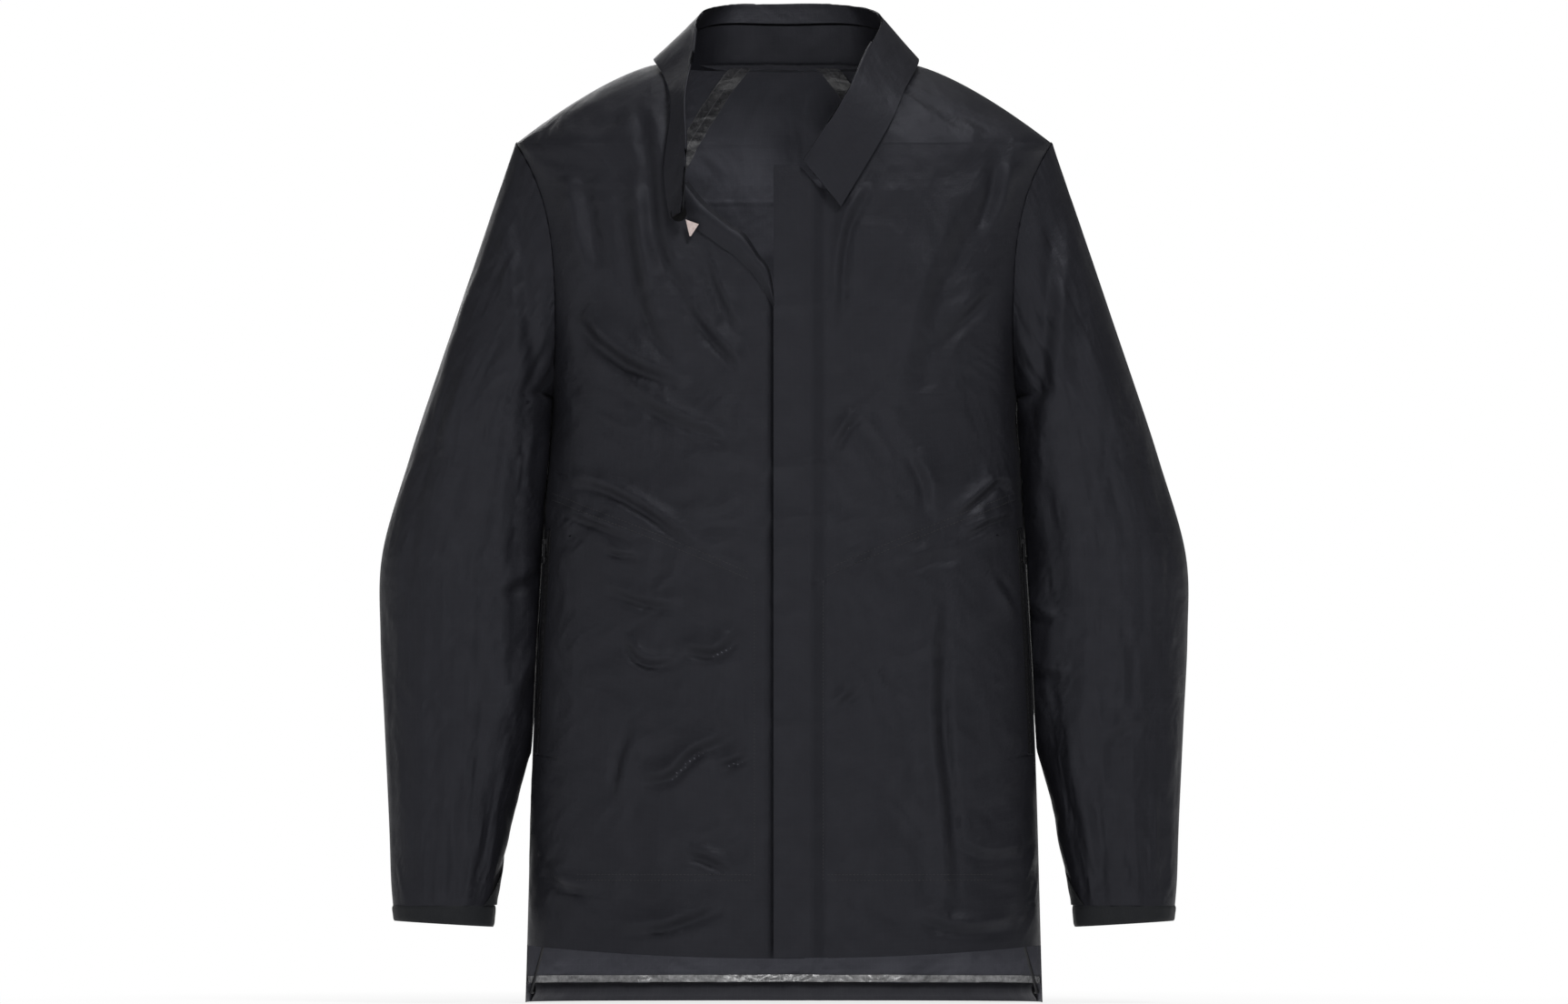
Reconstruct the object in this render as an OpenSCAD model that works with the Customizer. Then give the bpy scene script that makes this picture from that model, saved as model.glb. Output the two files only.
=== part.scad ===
// Hardshell jacket with a shirt collar, a concealed snap placket and two side pockets.
// +Z is up, -Y is the front, +X is the wearer's left. The origin is under the middle of
// the jacket at the height of the back hem. All sizes are in millimetres.

/* [Body widths] */
// Half of the body's width at the hem
hem_half_w = 219; // [212:1:224]
// Half of the body's width at the waist
waist_half_w = 202; // [196:1:205]
// Half of the body's width just below the armholes
chest_half_w = 197; // [190:1:200]
// Half of the distance between the shoulder points
shoulder_half_w = 227; // [220:1:234]
// Half of the neck's width at the shoulder seam
neck_half_w = 105; // [98:1:110]

/* [Body depths] */
// Distance from the body's mid-plane to the front panels
front_depth = 93; // [84:1:98]
// Distance from the body's mid-plane to the back panel
back_depth = 98; // [88:1:104]

/* [Heights] */
// Height of the front hem at the centre
front_hem_z = 38; // [30:1:46]
// Height of the front hem at the side seams
side_hem_z = 49; // [46:1:60]
// Height of the underarm point
underarm_z = 515; // [505:1:525]
// Height of the shoulder points
shoulder_z = 727; // [720:1:735]
// Height of the front neck, which is the top of the placket
front_neck_z = 708; // [700:1:714]
// Height of the seam between the back panel and the yoke
yoke_z = 678; // [660:1:690]
// Height of the shoulder seam's neck end
neck_point_z = 795; // [790:1:798]

/* [Placket] */
// Distance from the centre to the placket's sewn edge
placket_seam_x = 32; // [28:1:36]
// Width of the placket flap
flap_w = 40.5; // [34:0.5:44]
// Number of snaps under the flap
snap_count = 6; // [4:1:8]
// Radius of a snap's flange
snap_r = 6; // [5:0.5:7]

/* [Pockets] */
// Height of a pocket opening's lower end
pocket_low_z = 209; // [190:1:230]
// Height of a pocket opening's upper end
pocket_high_z = 402; // [380:1:404]

/* [Fabric] */
// Thickness that stands for the three-layer shell fabric
fabric_t = 0.8; // [0.6:0.1:1.2]

/* [Hidden] */

SHELL_COLOR = [0.15, 0.15, 0.16];
INNER_COLOR = [0.24, 0.24, 0.27];
TRIM_COLOR = [0.10, 0.11, 0.13];
TAPE_COLOR = [0.42, 0.42, 0.43];
BLACK_COLOR = [0.05, 0.05, 0.05];
LABEL_COLOR = [0.82, 0.76, 0.74];

// The body's mid-plane sits behind the origin, because the raised collar stands out in front
mid_y = 8;
// Half of the gap at a seam between two panels, as an angle round the body
seam_a = 0.06;
// Height where the chest starts to curve back, and the height where that curve would close
crown_z = 560;
dome_z = 800;
// Height of the back neck seam
back_neck_z = neck_point_z - 5;
// How far the armhole reaches forwards and backwards of the mid-plane
armhole_front = 46;
armhole_back = 54;
armhole_mid_z = (underarm_z + shoulder_z) / 2;
armhole_half_h = (shoulder_z - underarm_z) / 2;
// Ends of the slanted seam between the upper and lower fronts
slant_low_z = 356;
slant_high_z = 426;
// How far each placket layer stands out from the front panels
carrier_out = 2.0;
flap_out = 4.6;
// How far in front of the mid-plane the pocket opening starts and ends, and its zip runs
pocket_front_reach = 36;
pocket_back_reach = 20;
zip_reach = (pocket_front_reach + pocket_back_reach) / 2;

// ---------------------------------------------------------------- helpers

function mix(a, b, t) = a + (b - a) * t;
function unit(v) = v / max(norm(v), 1e-9);
function smooth(t) = let (c = min(1, max(0, t))) c * c * (3 - 2 * c);
// Value of a smooth curve through the points of a list, at t from 0 to 1
function along(points, t) =
    let (
        last = len(points) - 1,
        f = min(last - 1e-6, max(0, t * last)),
        i = floor(f),
        u = f - i,
        p0 = points[max(0, i - 1)],
        p1 = points[i],
        p2 = points[i + 1],
        p3 = points[min(last, i + 2)]
    )
    0.5 * (2 * p1 + (p2 - p0) * u + (2 * p0 - 5 * p1 + 4 * p2 - p3) * u * u
        + (3 * p1 - p0 - 3 * p2 + p3) * u * u * u);

// Grid moved along its own normals. Columns wrap round when closed is true.
function shifted(grid, distance, closed) =
    let (rows = len(grid), cols = len(grid[0]))
    [for (i = [0:rows - 1]) [for (j = [0:cols - 1])
        let (
            left = grid[i][closed ? (j + cols - 1) % cols : max(0, j - 1)],
            right = grid[i][closed ? (j + 1) % cols : min(cols - 1, j + 1)],
            below = grid[max(0, i - 1)][j],
            above = grid[min(rows - 1, i + 1)][j]
        )
        grid[i][j] + distance * unit(cross(right - left, above - below))]];

// Solid sheet between a grid of points and the same grid moved inwards.
// Across a row and then up the rows turns anticlockwise when seen from outside.
module sheet(grid, thickness, closed = false) {
    inner = shifted(grid, -thickness, closed);
    rows = len(grid);
    cols = len(grid[0]);
    count = rows * cols;
    spans = closed ? cols : cols - 1;
    function at(i, j) = i * cols + j % cols;
    skin_faces = [for (i = [0:rows - 2]) for (j = [0:spans - 1])
        let (a = at(i, j), b = at(i, j + 1), c = at(i + 1, j + 1), d = at(i + 1, j))
        each [[a, d, c], [a, c, b],
            [a + count, b + count, c + count], [a + count, c + count, d + count]]];
    end_faces = [for (j = [0:spans - 1])
        let (a = at(0, j), b = at(0, j + 1), c = at(rows - 1, j + 1), d = at(rows - 1, j))
        each [[a, b, b + count], [a, b + count, a + count],
            [c, d, d + count], [c, d + count, c + count]]];
    side_faces = closed ? [] : [for (i = [0:rows - 2])
        let (a = at(i, 0), d = at(i + 1, 0), b = at(i, cols - 1), c = at(i + 1, cols - 1))
        each [[d, a, a + count], [d, a + count, d + count],
            [b, c, c + count], [b, c + count, b + count]]];
    polyhedron(
        points = concat([for (row = grid) each row], [for (row = inner) each row]),
        faces = concat(skin_faces, end_faces, side_faces));
}

// ---------------------------------------------------------------- body surface

// Half of the body's width at a height; above the shoulder point it follows the shoulder seam
function half_w(z) = lookup(z, [
    [0, hem_half_w], [270, mix(hem_half_w, waist_half_w, 0.5)], [420, waist_half_w],
    [530, chest_half_w], [617, chest_half_w + 12], [shoulder_z, shoulder_half_w],
    [768, mix(neck_half_w, shoulder_half_w, 0.55)], [790, mix(neck_half_w, shoulder_half_w, 0.11)],
    [neck_point_z, neck_half_w]]);
// Squareness of the body's cross-section
function ring_power(z) = lookup(z, [[crown_z, 2.7], [shoulder_z, 2.2]]);
function dome(z) = z <= crown_z ? 1 : pow(1 - pow((z - crown_z) / (dome_z - crown_z), 3), 1 / 3);
// Point on the body: 0 degrees is the centre front, 90 the wearer's left side, 180 the back
function body_point(a, z, out = 0) =
    let (
        power = 2 / ring_power(z),
        s = sin(a),
        c = cos(a),
        depth = (c > 0 ? front_depth : back_depth) * dome(z) + out
    )
    [sign(s) * (half_w(z) + out) * pow(abs(s), power),
     mid_y - sign(c) * depth * pow(abs(c), power), z];
// Angle of the front surface's point with a given x
function angle_at_x(x, z) = sign(x) * asin(pow(min(1, abs(x) / half_w(z)), ring_power(z) / 2));
// Angle, from the side, of the point a given distance in front of or behind the mid-plane
function angle_from_side(reach, z, depth) =
    90 - acos(min(1, pow(reach / (depth * dome(z)), ring_power(z) / 2)));
function armhole_reach(z, reach) =
    reach * sqrt(max(0, 1 - pow((z - armhole_mid_z) / armhole_half_h, 2)));
// Angle between the side seam and the armhole's edge, in front of it or behind it
function armhole_a(z, reach, depth) =
    z <= underarm_z || z >= shoulder_z ? seam_a
    : max(seam_a, angle_from_side(armhole_reach(z, reach), z, depth));
function front_y(x, z, out = 0) = body_point(angle_at_x(x, z), z, out)[1];
function back_y(x, z, out = 0) = body_point(180 - angle_at_x(x, z), z, out)[1];

// ---------------------------------------------------------------- front and back panels

// x of a front panel's inner edge, on its own side of the centre line
LEFT_EDGE = [[front_neck_z, placket_seam_x + 0.6], [718, 44], [730, 60], [757, 85],
    [neck_point_z, neck_half_w]];
RIGHT_EDGE = [[520, -18], [583, 6], [618, 13], [647, 34], [664, 57], [691, 82], [740, 93],
    [neck_point_z, neck_half_w]];
UPPER_ROWS = [underarm_z, 540, 565, 590, 618, 647, 664, 691, front_neck_z, shoulder_z,
    748, 768, 782, 790, neck_point_z - 0.6];

function slant_z(s) = mix(slant_low_z, slant_high_z, pow(sin(90 * s), 0.74));
function front_hem(s) = mix(front_hem_z, side_hem_z, s * s);
// Along the pocket the lower front panel stops short of the side seam
function lower_side_a(z) =
    z > pocket_low_z - 1 && z < pocket_high_z + 1
    ? 90 - angle_from_side(pocket_front_reach, z, front_depth) : 90 - seam_a;
function front_cell(edge, side_a, s, z) =
    body_point(mix(angle_at_x(lookup(z, edge), z), side_a, s), z);

module front_upper(edge) {
    cols = 12;
    low_rows = 4;
    sheet([
        for (i = [0:low_rows - 1]) [for (j = [0:cols])
            let (s = j / cols, z = mix(slant_z(s) + 0.4, underarm_z, i / low_rows))
            front_cell(edge, 90 - seam_a, s, z)],
        for (z = UPPER_ROWS) [for (j = [0:cols])
            front_cell(edge, 90 - armhole_a(z, armhole_front, front_depth), j / cols, z)]
    ], fabric_t);
}

module front_lower(edge) {
    cols = 12;
    heights = [0, 0.25, (pocket_low_z - 2 - side_hem_z) / (slant_high_z - side_hem_z),
        (pocket_low_z - side_hem_z) / (slant_high_z - side_hem_z), 0.55, 0.68, 0.8,
        (pocket_high_z - side_hem_z) / (slant_high_z - side_hem_z),
        (pocket_high_z + 2 - side_hem_z) / (slant_high_z - side_hem_z), 1];
    sheet([for (h = heights) [for (j = [0:cols])
        let (s = j / cols, z = mix(front_hem(s), slant_z(s) - 0.4, h))
        front_cell(edge, lower_side_a(mix(side_hem_z, slant_high_z, h)), s, z)]], fabric_t);
}

module front_left_upper() { color(SHELL_COLOR) front_upper(LEFT_EDGE); }
module front_right_upper() { color(SHELL_COLOR) mirror([1, 0, 0]) front_upper(RIGHT_EDGE); }
module front_left_lower() { color(SHELL_COLOR) front_lower(LEFT_EDGE); }
module front_right_lower() { color(SHELL_COLOR) mirror([1, 0, 0]) front_lower(RIGHT_EDGE); }

BACK_COLS = 18;
function back_row(z) =
    let (from = 90 + armhole_a(z, armhole_back, back_depth))
    [for (j = [0:BACK_COLS]) body_point(mix(from, 360 - from, j / BACK_COLS), z)];
// Top edge of the yoke: level behind the neck, and rising at both shoulders
function yoke_top_row() =
    [for (j = [0:BACK_COLS])
        let (
            a = mix(90, 270, j / BACK_COLS),
            rise = smooth((abs(sin(a)) - 0.45) / 0.4)
        )
        body_point(a, mix(back_neck_z, neck_point_z - 0.6, rise))];

module back_yoke() {
    heights = [yoke_z + 0.4, 700, 715, shoulder_z, 742, 757, 770, 781, back_neck_z - 2];
    color(SHELL_COLOR)
        sheet(concat([for (z = heights) back_row(z)], [yoke_top_row()]), fabric_t);
}

module back_panel() {
    heights = [0, 60, 140, 230, 320, 410, 480, underarm_z, 540, 580, 621, 655, yoke_z - 0.4];
    color(SHELL_COLOR)
        sheet([for (z = heights) back_row(z)], fabric_t);
}

// ---------------------------------------------------------------- sleeves

SLEEVE_SIDES = 20;
// Sleeve sections from biceps to hem: [centre x, centre y, centre z, half width, half depth, tilt]
BICEPS = [247, 5, 523, 47.5, 57, 12.7];
ABOVE_ELBOW = [262, 8, 449, 57, 55, 8];
ELBOW = [275.5, 10, 379, 65, 51, 0];
FOREARM_SECTIONS = [
    ELBOW, [276.5, 10, 310, 65.5, 49, 0], [278, 6, 235, 60.5, 45, 0], [282.5, 0, 150, 52, 40, 0],
    [287, -2, 105, 46, 36.5, 0], [288, -4, 82, 43.2, 34.5, 0]];
CUFF_LOW = [288.2, -4.6, 66, 42, 33.5, 0];

// Point of a sleeve section: 0 degrees is outwards, 90 the front, 180 inwards
function section_point(section, a, out = 0) =
    let (
        squareness = 0.88,
        w = sign(cos(a)) * pow(abs(cos(a)), squareness) * (section[3] + out),
        d = sign(sin(a)) * pow(abs(sin(a)), squareness) * (section[4] + out)
    )
    [section[0] + w * cos(section[5]), mid_y + section[1] - d, section[2] + w * sin(section[5])];
// Point of the armhole's edge, drawn in by a share of its size so that the sleeve sits inside it
function armhole_point(a, share) =
    let (
        z = armhole_mid_z + armhole_half_h * share * cos(a),
        reach = sin(a) > 0 ? armhole_front : armhole_back,
        depth = (sin(a) > 0 ? front_depth : back_depth) * dome(z),
        y = -reach * share * sin(a),
        x = half_w(z) * pow(1 - pow(abs(y) / depth, ring_power(z)), 1 / ring_power(z))
    )
    [x + 1.6, mid_y + y, z];
function sleeve_ring(section, out = 0) =
    [for (k = [0:SLEEVE_SIDES - 1]) section_point(section, -k * 360 / SLEEVE_SIDES, out)];
function armhole_ring(share) =
    [for (k = [0:SLEEVE_SIDES - 1]) armhole_point(-k * 360 / SLEEVE_SIDES, share)];

// Rings run from the lower end upwards
module upper_sleeve() {
    cap_steps = 4;
    cap = armhole_ring(0.958);
    top = sleeve_ring(BICEPS);
    lower = [ELBOW + [0, 0, 1.2, 0, 0, 0], mix(ELBOW, ABOVE_ELBOW, 0.5), ABOVE_ELBOW,
        mix(ABOVE_ELBOW, BICEPS, 0.5)];
    color(SHELL_COLOR)
        sheet([
            for (section = lower) sleeve_ring(section),
            for (i = [0:cap_steps])
                [for (k = [0:SLEEVE_SIDES - 1]) mix(top[k], cap[k], i / cap_steps)]
        ], fabric_t, closed = true);
}

module forearm_sleeve() {
    last = len(FOREARM_SECTIONS) - 1;
    color(SHELL_COLOR)
        sheet([for (i = [last:-1:0])
            sleeve_ring(FOREARM_SECTIONS[i] + [0, 0, i == 0 ? -1.2 : 0, 0, 0, 0])],
            fabric_t, closed = true);
}

module cuff_band() {
    top = FOREARM_SECTIONS[len(FOREARM_SECTIONS) - 1];
    color(TRIM_COLOR)
        sheet([sleeve_ring(CUFF_LOW, 0.4), sleeve_ring(top - [0, 0, 0.6, 0, 0, 0], 0.4)],
            1.6, closed = true);
}

// Triangular stretch panel on the inner side of the sleeve, above the cuff band
module cuff_gusset() {
    rows = 4;
    cols = 6;
    low = FOREARM_SECTIONS[len(FOREARM_SECTIONS) - 1];
    high = FOREARM_SECTIONS[len(FOREARM_SECTIONS) - 2];
    color(TRIM_COLOR)
        sheet([for (i = [0:rows]) [for (j = [0:cols])
            let (
                h = i / rows,
                spread = mix(58, 3, h),
                section = mix(low, high, mix(0.12, 1.85, h))
            )
            section_point(section, mix(196 + spread, 196 - spread, j / cols), 2.4)]], fabric_t);
}

module upper_sleeve_left() { upper_sleeve(); }
module upper_sleeve_right() { mirror([1, 0, 0]) upper_sleeve(); }
module forearm_sleeve_left() { forearm_sleeve(); }
module forearm_sleeve_right() { mirror([1, 0, 0]) forearm_sleeve(); }
module cuff_band_left() { cuff_band(); }
module cuff_band_right() { mirror([1, 0, 0]) cuff_band(); }
module cuff_gusset_left() { cuff_gusset(); }
module cuff_gusset_right() { mirror([1, 0, 0]) cuff_gusset(); }

// ---------------------------------------------------------------- collar

// Each collar curve runs from the wearer's right front, round the back, to the left front.
// The right end stands up and the left end lies folded on the chest.
NECK_LINE = [
    [-84, front_y(-84, 684, 3), 684], [-90, front_y(-90, 726, 3), 726],
    [-96, front_y(-96, 764, 1.5), 764], [-100.5, front_y(-100.5, 786, 1), 786],
    [-101, mid_y - 2, 791], [-62, back_y(62, 789.6, -4.2), 790.2],
    [0, back_y(0, 788, -4.2), 788.8], [62, back_y(62, 789.6, -4.2), 790.2],
    [101, mid_y - 2, 791], [95.5, front_y(95.5, 783, 1), 783],
    [82, front_y(82, 757, 1.5), 757], [34, front_y(34, 712, 3), 714]];
STAND_LINE = [
    [-84, front_y(-84, 684, 12), 680], [-87, front_y(-87, 726, 14), 728],
    [-86, front_y(-90, 762, 13), 768], [-86, mid_y - 46, 795], [-87, mid_y - 6, 815],
    [-58, mid_y + 36, 827], [0, mid_y + 44, 827], [60, mid_y + 36, 827],
    [90, mid_y - 6, 817], [82, mid_y - 46, 790],
    [70, front_y(70, 757, 5.5), 764], [20, front_y(20, 712, 6), 715]];
ROLL_LINE = [
    [-87, front_y(-84, 684, 30), 668], [-83, front_y(-87, 726, 30), 722],
    [-84, front_y(-90, 762, 26), 766], [-77, mid_y - 50, 803], [-71, mid_y - 10, 835],
    [-50, mid_y + 40, 844], [0, mid_y + 49, 845], [54, mid_y + 40, 844],
    [82, mid_y - 10, 833], [69, mid_y - 54, 803],
    [54, front_y(54, 755, 12), 771], [17, front_y(17, 708, 11), 711]];
FALL_EDGE = [
    [-96, front_y(-96, 680, 14), 663], [-101, front_y(-101, 708, 14), 704],
    [-95, front_y(-94, 760, 17), 758], [-101, mid_y - 44, 783], [-109, mid_y - 6, 798.5],
    [-78, mid_y + 52, 789], [0, mid_y + 64, 786], [80, mid_y + 52, 789],
    [113, mid_y - 10, 798.5], [101, front_y(101, 770, 9), 770],
    [86, front_y(86, 738, 8), 737], [48, front_y(48, 673, 6), 673]];
COLLAR_STEPS = 33;

module collar_stand() {
    color(SHELL_COLOR)
        sheet([for (line = [STAND_LINE, mix(STAND_LINE, NECK_LINE, 0.5), NECK_LINE])
            [for (i = [0:COLLAR_STEPS]) along(line, i / COLLAR_STEPS)]], fabric_t);
}

// The fall turns over the roll line and hangs outside the stand
module collar_fall() {
    inner_lift = mix(STAND_LINE, ROLL_LINE, 0.12);
    outer_turn = mix(ROLL_LINE, FALL_EDGE, 0.12);
    color(SHELL_COLOR)
        sheet([for (line = [FALL_EDGE, mix(ROLL_LINE, FALL_EDGE, 0.55), outer_turn, ROLL_LINE,
                mix(inner_lift, ROLL_LINE, 0.7), inner_lift])
            [for (i = [0:COLLAR_STEPS]) along(line, i / COLLAR_STEPS)]], fabric_t);
}

// The upper right front turns outwards below the collar, like a small lapel
module lapel_facing() {
    roll = [[-81, 690], [-56, 665], [-34, 648], [-14, 619]];
    free = [[-81, 666], [-62, 646], [-42, 632], [-17, 606]];
    steps = 8;
    color(INNER_COLOR)
        sheet([for (k = [0:3]) [for (i = [0:steps])
            let (p = mix(along(free, i / steps), along(roll, i / steps), k / 3))
            [p[0], front_y(p[0], p[1], 3 + 2 * sin(60 * k)), p[1]]]], fabric_t);
}

// ---------------------------------------------------------------- placket

function strip_grid(x_from, x_to, z_from, z_to, cols, rows, out) =
    [for (i = [0:rows]) [for (j = [0:cols])
        let (x = mix(x_from, x_to, j / cols), z = mix(z_from, z_to, i / rows))
        body_point(angle_at_x(x, z), z, out)]];
function snap_z(i) = mix(78, 532, i / (snap_count - 1));
snap_x = 6;

// The flap's top falls away towards its sewn edge, so that it swings clear of the collar
module placket_flap() {
    rows = 14;
    cols = 5;
    corner_drop = 20;
    color(SHELL_COLOR)
        sheet([for (i = [0:rows]) [for (j = [0:cols])
            let (
                x = mix(placket_seam_x - flap_w, placket_seam_x - 0.2, j / cols),
                top = front_neck_z - corner_drop * smooth((x - 10) / (placket_seam_x - 10)),
                z = mix(front_hem_z + 0.5, top, i / rows)
            )
            body_point(angle_at_x(x, z), z, flap_out)]], 1.1);
}

module placket_carrier() {
    color(INNER_COLOR)
        difference() {
            sheet(strip_grid(-4, placket_seam_x - 0.4, front_hem_z + 4, front_neck_z - 12, 3, 14,
                carrier_out), 0.6);
            at_snaps() cylinder(h = 8, r = snap_socket_r, center = true, $fn = 32);
        }
}

// Everything that belongs to a snap is drawn with +Z pointing out of the front
snap_socket_r = 3.4;
snap_bore_r = 2.4;
snap_stud_r = 2.0;
module at_snaps() {
    for (i = [0:snap_count - 1])
        translate([snap_x, mid_y - front_depth, snap_z(i)]) rotate([90, 0, 0]) children();
}

// Spring sockets riveted through the carrier
module socket() {
    difference() {
        union() {
            translate([0, 0, carrier_out + 0.1]) cylinder(h = 0.7, r = snap_r, $fn = 48);
            translate([0, 0, 1.0]) cylinder(h = 1.6, r = snap_socket_r - 0.1, $fn = 48);
        }
        cylinder(h = 8, r = snap_bore_r, center = true, $fn = 48);
    }
}
module snap_sockets() {
    color(BLACK_COLOR) at_snaps() socket();
}

// Studs riveted through the underlap, with a cap on its inner face
module stud(shank_h) {
    cylinder(h = shank_h, r = snap_stud_r, $fn = 48);
    translate([0, 0, 0.05]) cylinder(h = 0.55, r = snap_r - 0.5, $fn = 48);
    translate([0, 0, -fabric_t - 1.2]) cylinder(h = 1.1, r = snap_r, $fn = 48);
    translate([0, 0, -fabric_t - 0.2]) cylinder(h = fabric_t + 0.3, r = 1.2, $fn = 32);
}
module snap_studs() {
    color(BLACK_COLOR) at_snaps() stud(2.5);
}

// Snap at the stand's right end, which stands open
module at_collar_stud() {
    translate([-89, front_y(-89, 667, 13.5), 667]) rotate([90, 0, 0]) children();
}
module collar_snap_stud() {
    color(BLACK_COLOR) at_collar_stud() {
        cylinder(h = 1.4, r = snap_r + 0.8, $fn = 48);
        cylinder(h = 3.2, r = snap_stud_r, $fn = 48);
    }
}
module at_collar_socket() {
    translate([29, front_y(29, 704, 2.4), 703.5]) rotate([90, 0, 0]) children();
}
module collar_snap_socket() {
    color(BLACK_COLOR) at_collar_socket()
        difference() {
            cylinder(h = 1.2, r = snap_r - 1, $fn = 48);
            translate([0, 0, -1]) cylinder(h = 4, r = snap_bore_r, $fn = 48);
        }
}

// ---------------------------------------------------------------- pockets

// Side strip behind the pocket's zip, up to the side seam
module pocket_welt() {
    rows = 8;
    color(SHELL_COLOR)
        sheet([for (i = [0:rows]) [for (j = [0:3])
            let (
                z = mix(pocket_low_z + 0.3, pocket_high_z - 0.3, i / rows),
                front_a = 90 - angle_from_side(pocket_back_reach, z, front_depth)
            )
            body_point(mix(front_a, 90 - seam_a, j / 3), z)]], fabric_t);
}

// The zip is straight. Its own frame has +Z along the zip and +X out of the jacket.
function zip_x(z) = body_point(90 - angle_from_side(zip_reach, z, front_depth), z)[0];
zip_low_x = zip_x(pocket_low_z);
zip_high_x = zip_x(pocket_high_z);
zip_len = pocket_high_z - pocket_low_z;
zip_lean = atan((zip_low_x - zip_high_x) / zip_len);
// Angle from the side towards the front that the zip faces
zip_facing = 16.6;
module in_zip_frame() {
    translate([zip_low_x - 0.4, mid_y - zip_reach, pocket_low_z])
        rotate([0, -zip_lean, 0]) rotate([0, 0, -zip_facing]) children();
}
zip_tape_half_w = 7.2;
zip_tooth_t = 1.4;
zip_pitch = 4;
// Half of the channel between the two rows of teeth, in which the slider's web runs
zip_channel = 0.5;

// One tape with its row of teeth
module zip_half(turn) {
    teeth = floor((zip_len - 8) / zip_pitch);
    scale([1, turn, 1]) {
        translate([-0.3, zip_channel + 1.2, 2])
            cube([0.5, zip_tape_half_w - zip_channel - 1.2, zip_len - 4]);
        for (i = [0:teeth - 1])
            translate([-zip_tooth_t / 2, zip_channel, 5 + i * zip_pitch])
                cube([zip_tooth_t, 1.6, zip_pitch * 0.62]);
    }
}
module pocket_zip() {
    color(BLACK_COLOR) in_zip_frame() {
        zip_half(1);
        zip_half(-1);
    }
}

// Slider: two plates joined by a web, with a lug for the puller. It rests near the top.
slider_len = 9;
slider_at = zip_len - 8 - slider_len;
slider_gap = zip_tooth_t / 2 + 0.15;
lug_h = 2.6;
puller_pin_r = 0.6;
module zip_slider() {
    color(BLACK_COLOR) in_zip_frame() translate([0, 0, slider_at]) {
        for (x = [-slider_gap - 0.8, slider_gap])
            translate([x, 0, 0]) rotate([90, 0, 90]) linear_extrude(0.8)
                polygon([[-2.6, 0], [2.6, 0], [3.8, slider_len], [-3.8, slider_len]]);
        translate([-slider_gap - 0.4, -zip_channel + 0.15, 0])
            cube([2 * slider_gap + 0.8, 2 * zip_channel - 0.3, slider_len]);
        for (side = [-1, 1])
            translate([slider_gap + 0.7, side * 1.7 - 0.35, 3])
                cube([lug_h, 0.7, 4]);
        translate([slider_gap + 0.8 + lug_h - 1.2, 0, 5]) rotate([90, 0, 0])
            cylinder(h = 4, r = puller_pin_r, center = true, $fn = 32);
    }
}

// Puller: a flat tab that hangs from the slider's pin and ends in a hole for a cord
puller_len = 19;
puller_t = 1.3;
puller_hole_r = 1.6;
module zip_puller() {
    color(BLACK_COLOR) in_zip_frame()
        translate([slider_gap + 0.8 + lug_h - 1.2, 0, slider_at + 5])
            rotate([90, 0, 90]) translate([0, 0, -puller_t / 2])
                difference() {
                    union() {
                        translate([-1.1, -puller_len + 5, 0])
                            cube([2.2, puller_len - 4.6, puller_t]);
                        translate([0, -puller_len + 3.4, 0]) cylinder(h = puller_t, r = 3.4, $fn = 40);
                        translate([-1.1, 0, puller_t / 2]) rotate([0, 90, 0])
                            cylinder(h = 2.2, r = 1.3, $fn = 32);
                    }
                    translate([-3, 0, puller_t / 2]) rotate([0, 90, 0])
                        cylinder(h = 6, r = puller_pin_r + 0.08, $fn = 32);
                    translate([0, -puller_len + 3.4, -1])
                        cylinder(h = 4, r = puller_hole_r, $fn = 40);
                }
}

// Hand pocket bag on the inside of the lower front, from its stitched line to the zip
module pocket_bag() {
    rows = 7;
    cols = 7;
    color(INNER_COLOR)
        sheet([for (i = [0:rows]) [for (j = [0:cols])
            let (
                s = j / cols,
                z = mix(109, mix(slant_low_z - 6, 404, s), i / rows),
                x = mix(placket_seam_x + 2, half_w(z) - 20, s)
            )
            body_point(angle_at_x(x, z), z, -3.5 - 3 * sin(180 * s))]], fabric_t);
}

module pocket_welt_left() { pocket_welt(); }
module pocket_welt_right() { mirror([1, 0, 0]) pocket_welt(); }
module pocket_zip_left() { pocket_zip(); }
module pocket_zip_right() { mirror([1, 0, 0]) pocket_zip(); }
module zip_slider_left() { zip_slider(); }
module zip_slider_right() { mirror([1, 0, 0]) zip_slider(); }
module zip_puller_left() { zip_puller(); }
module zip_puller_right() { mirror([1, 0, 0]) zip_puller(); }
module pocket_bag_left() { pocket_bag(); }
module pocket_bag_right() { mirror([1, 0, 0]) pocket_bag(); }

// ---------------------------------------------------------------- inside trim

// Seam tape on the inside of each armhole, over the back of the shoulder
module shoulder_seam_tapes() {
    steps = 10;
    color(TAPE_COLOR) for (side = [0, 1]) mirror([side, 0, 0])
        sheet([for (k = [0, 1]) [for (i = [0:steps])
            let (z = mix(back_neck_z - 4, yoke_z + 30, i / steps), x = mix(44, 104, i / steps) - 9 * k)
            [x, back_y(x, z, -fabric_t - 2), z]]], 0.4);
}

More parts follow.
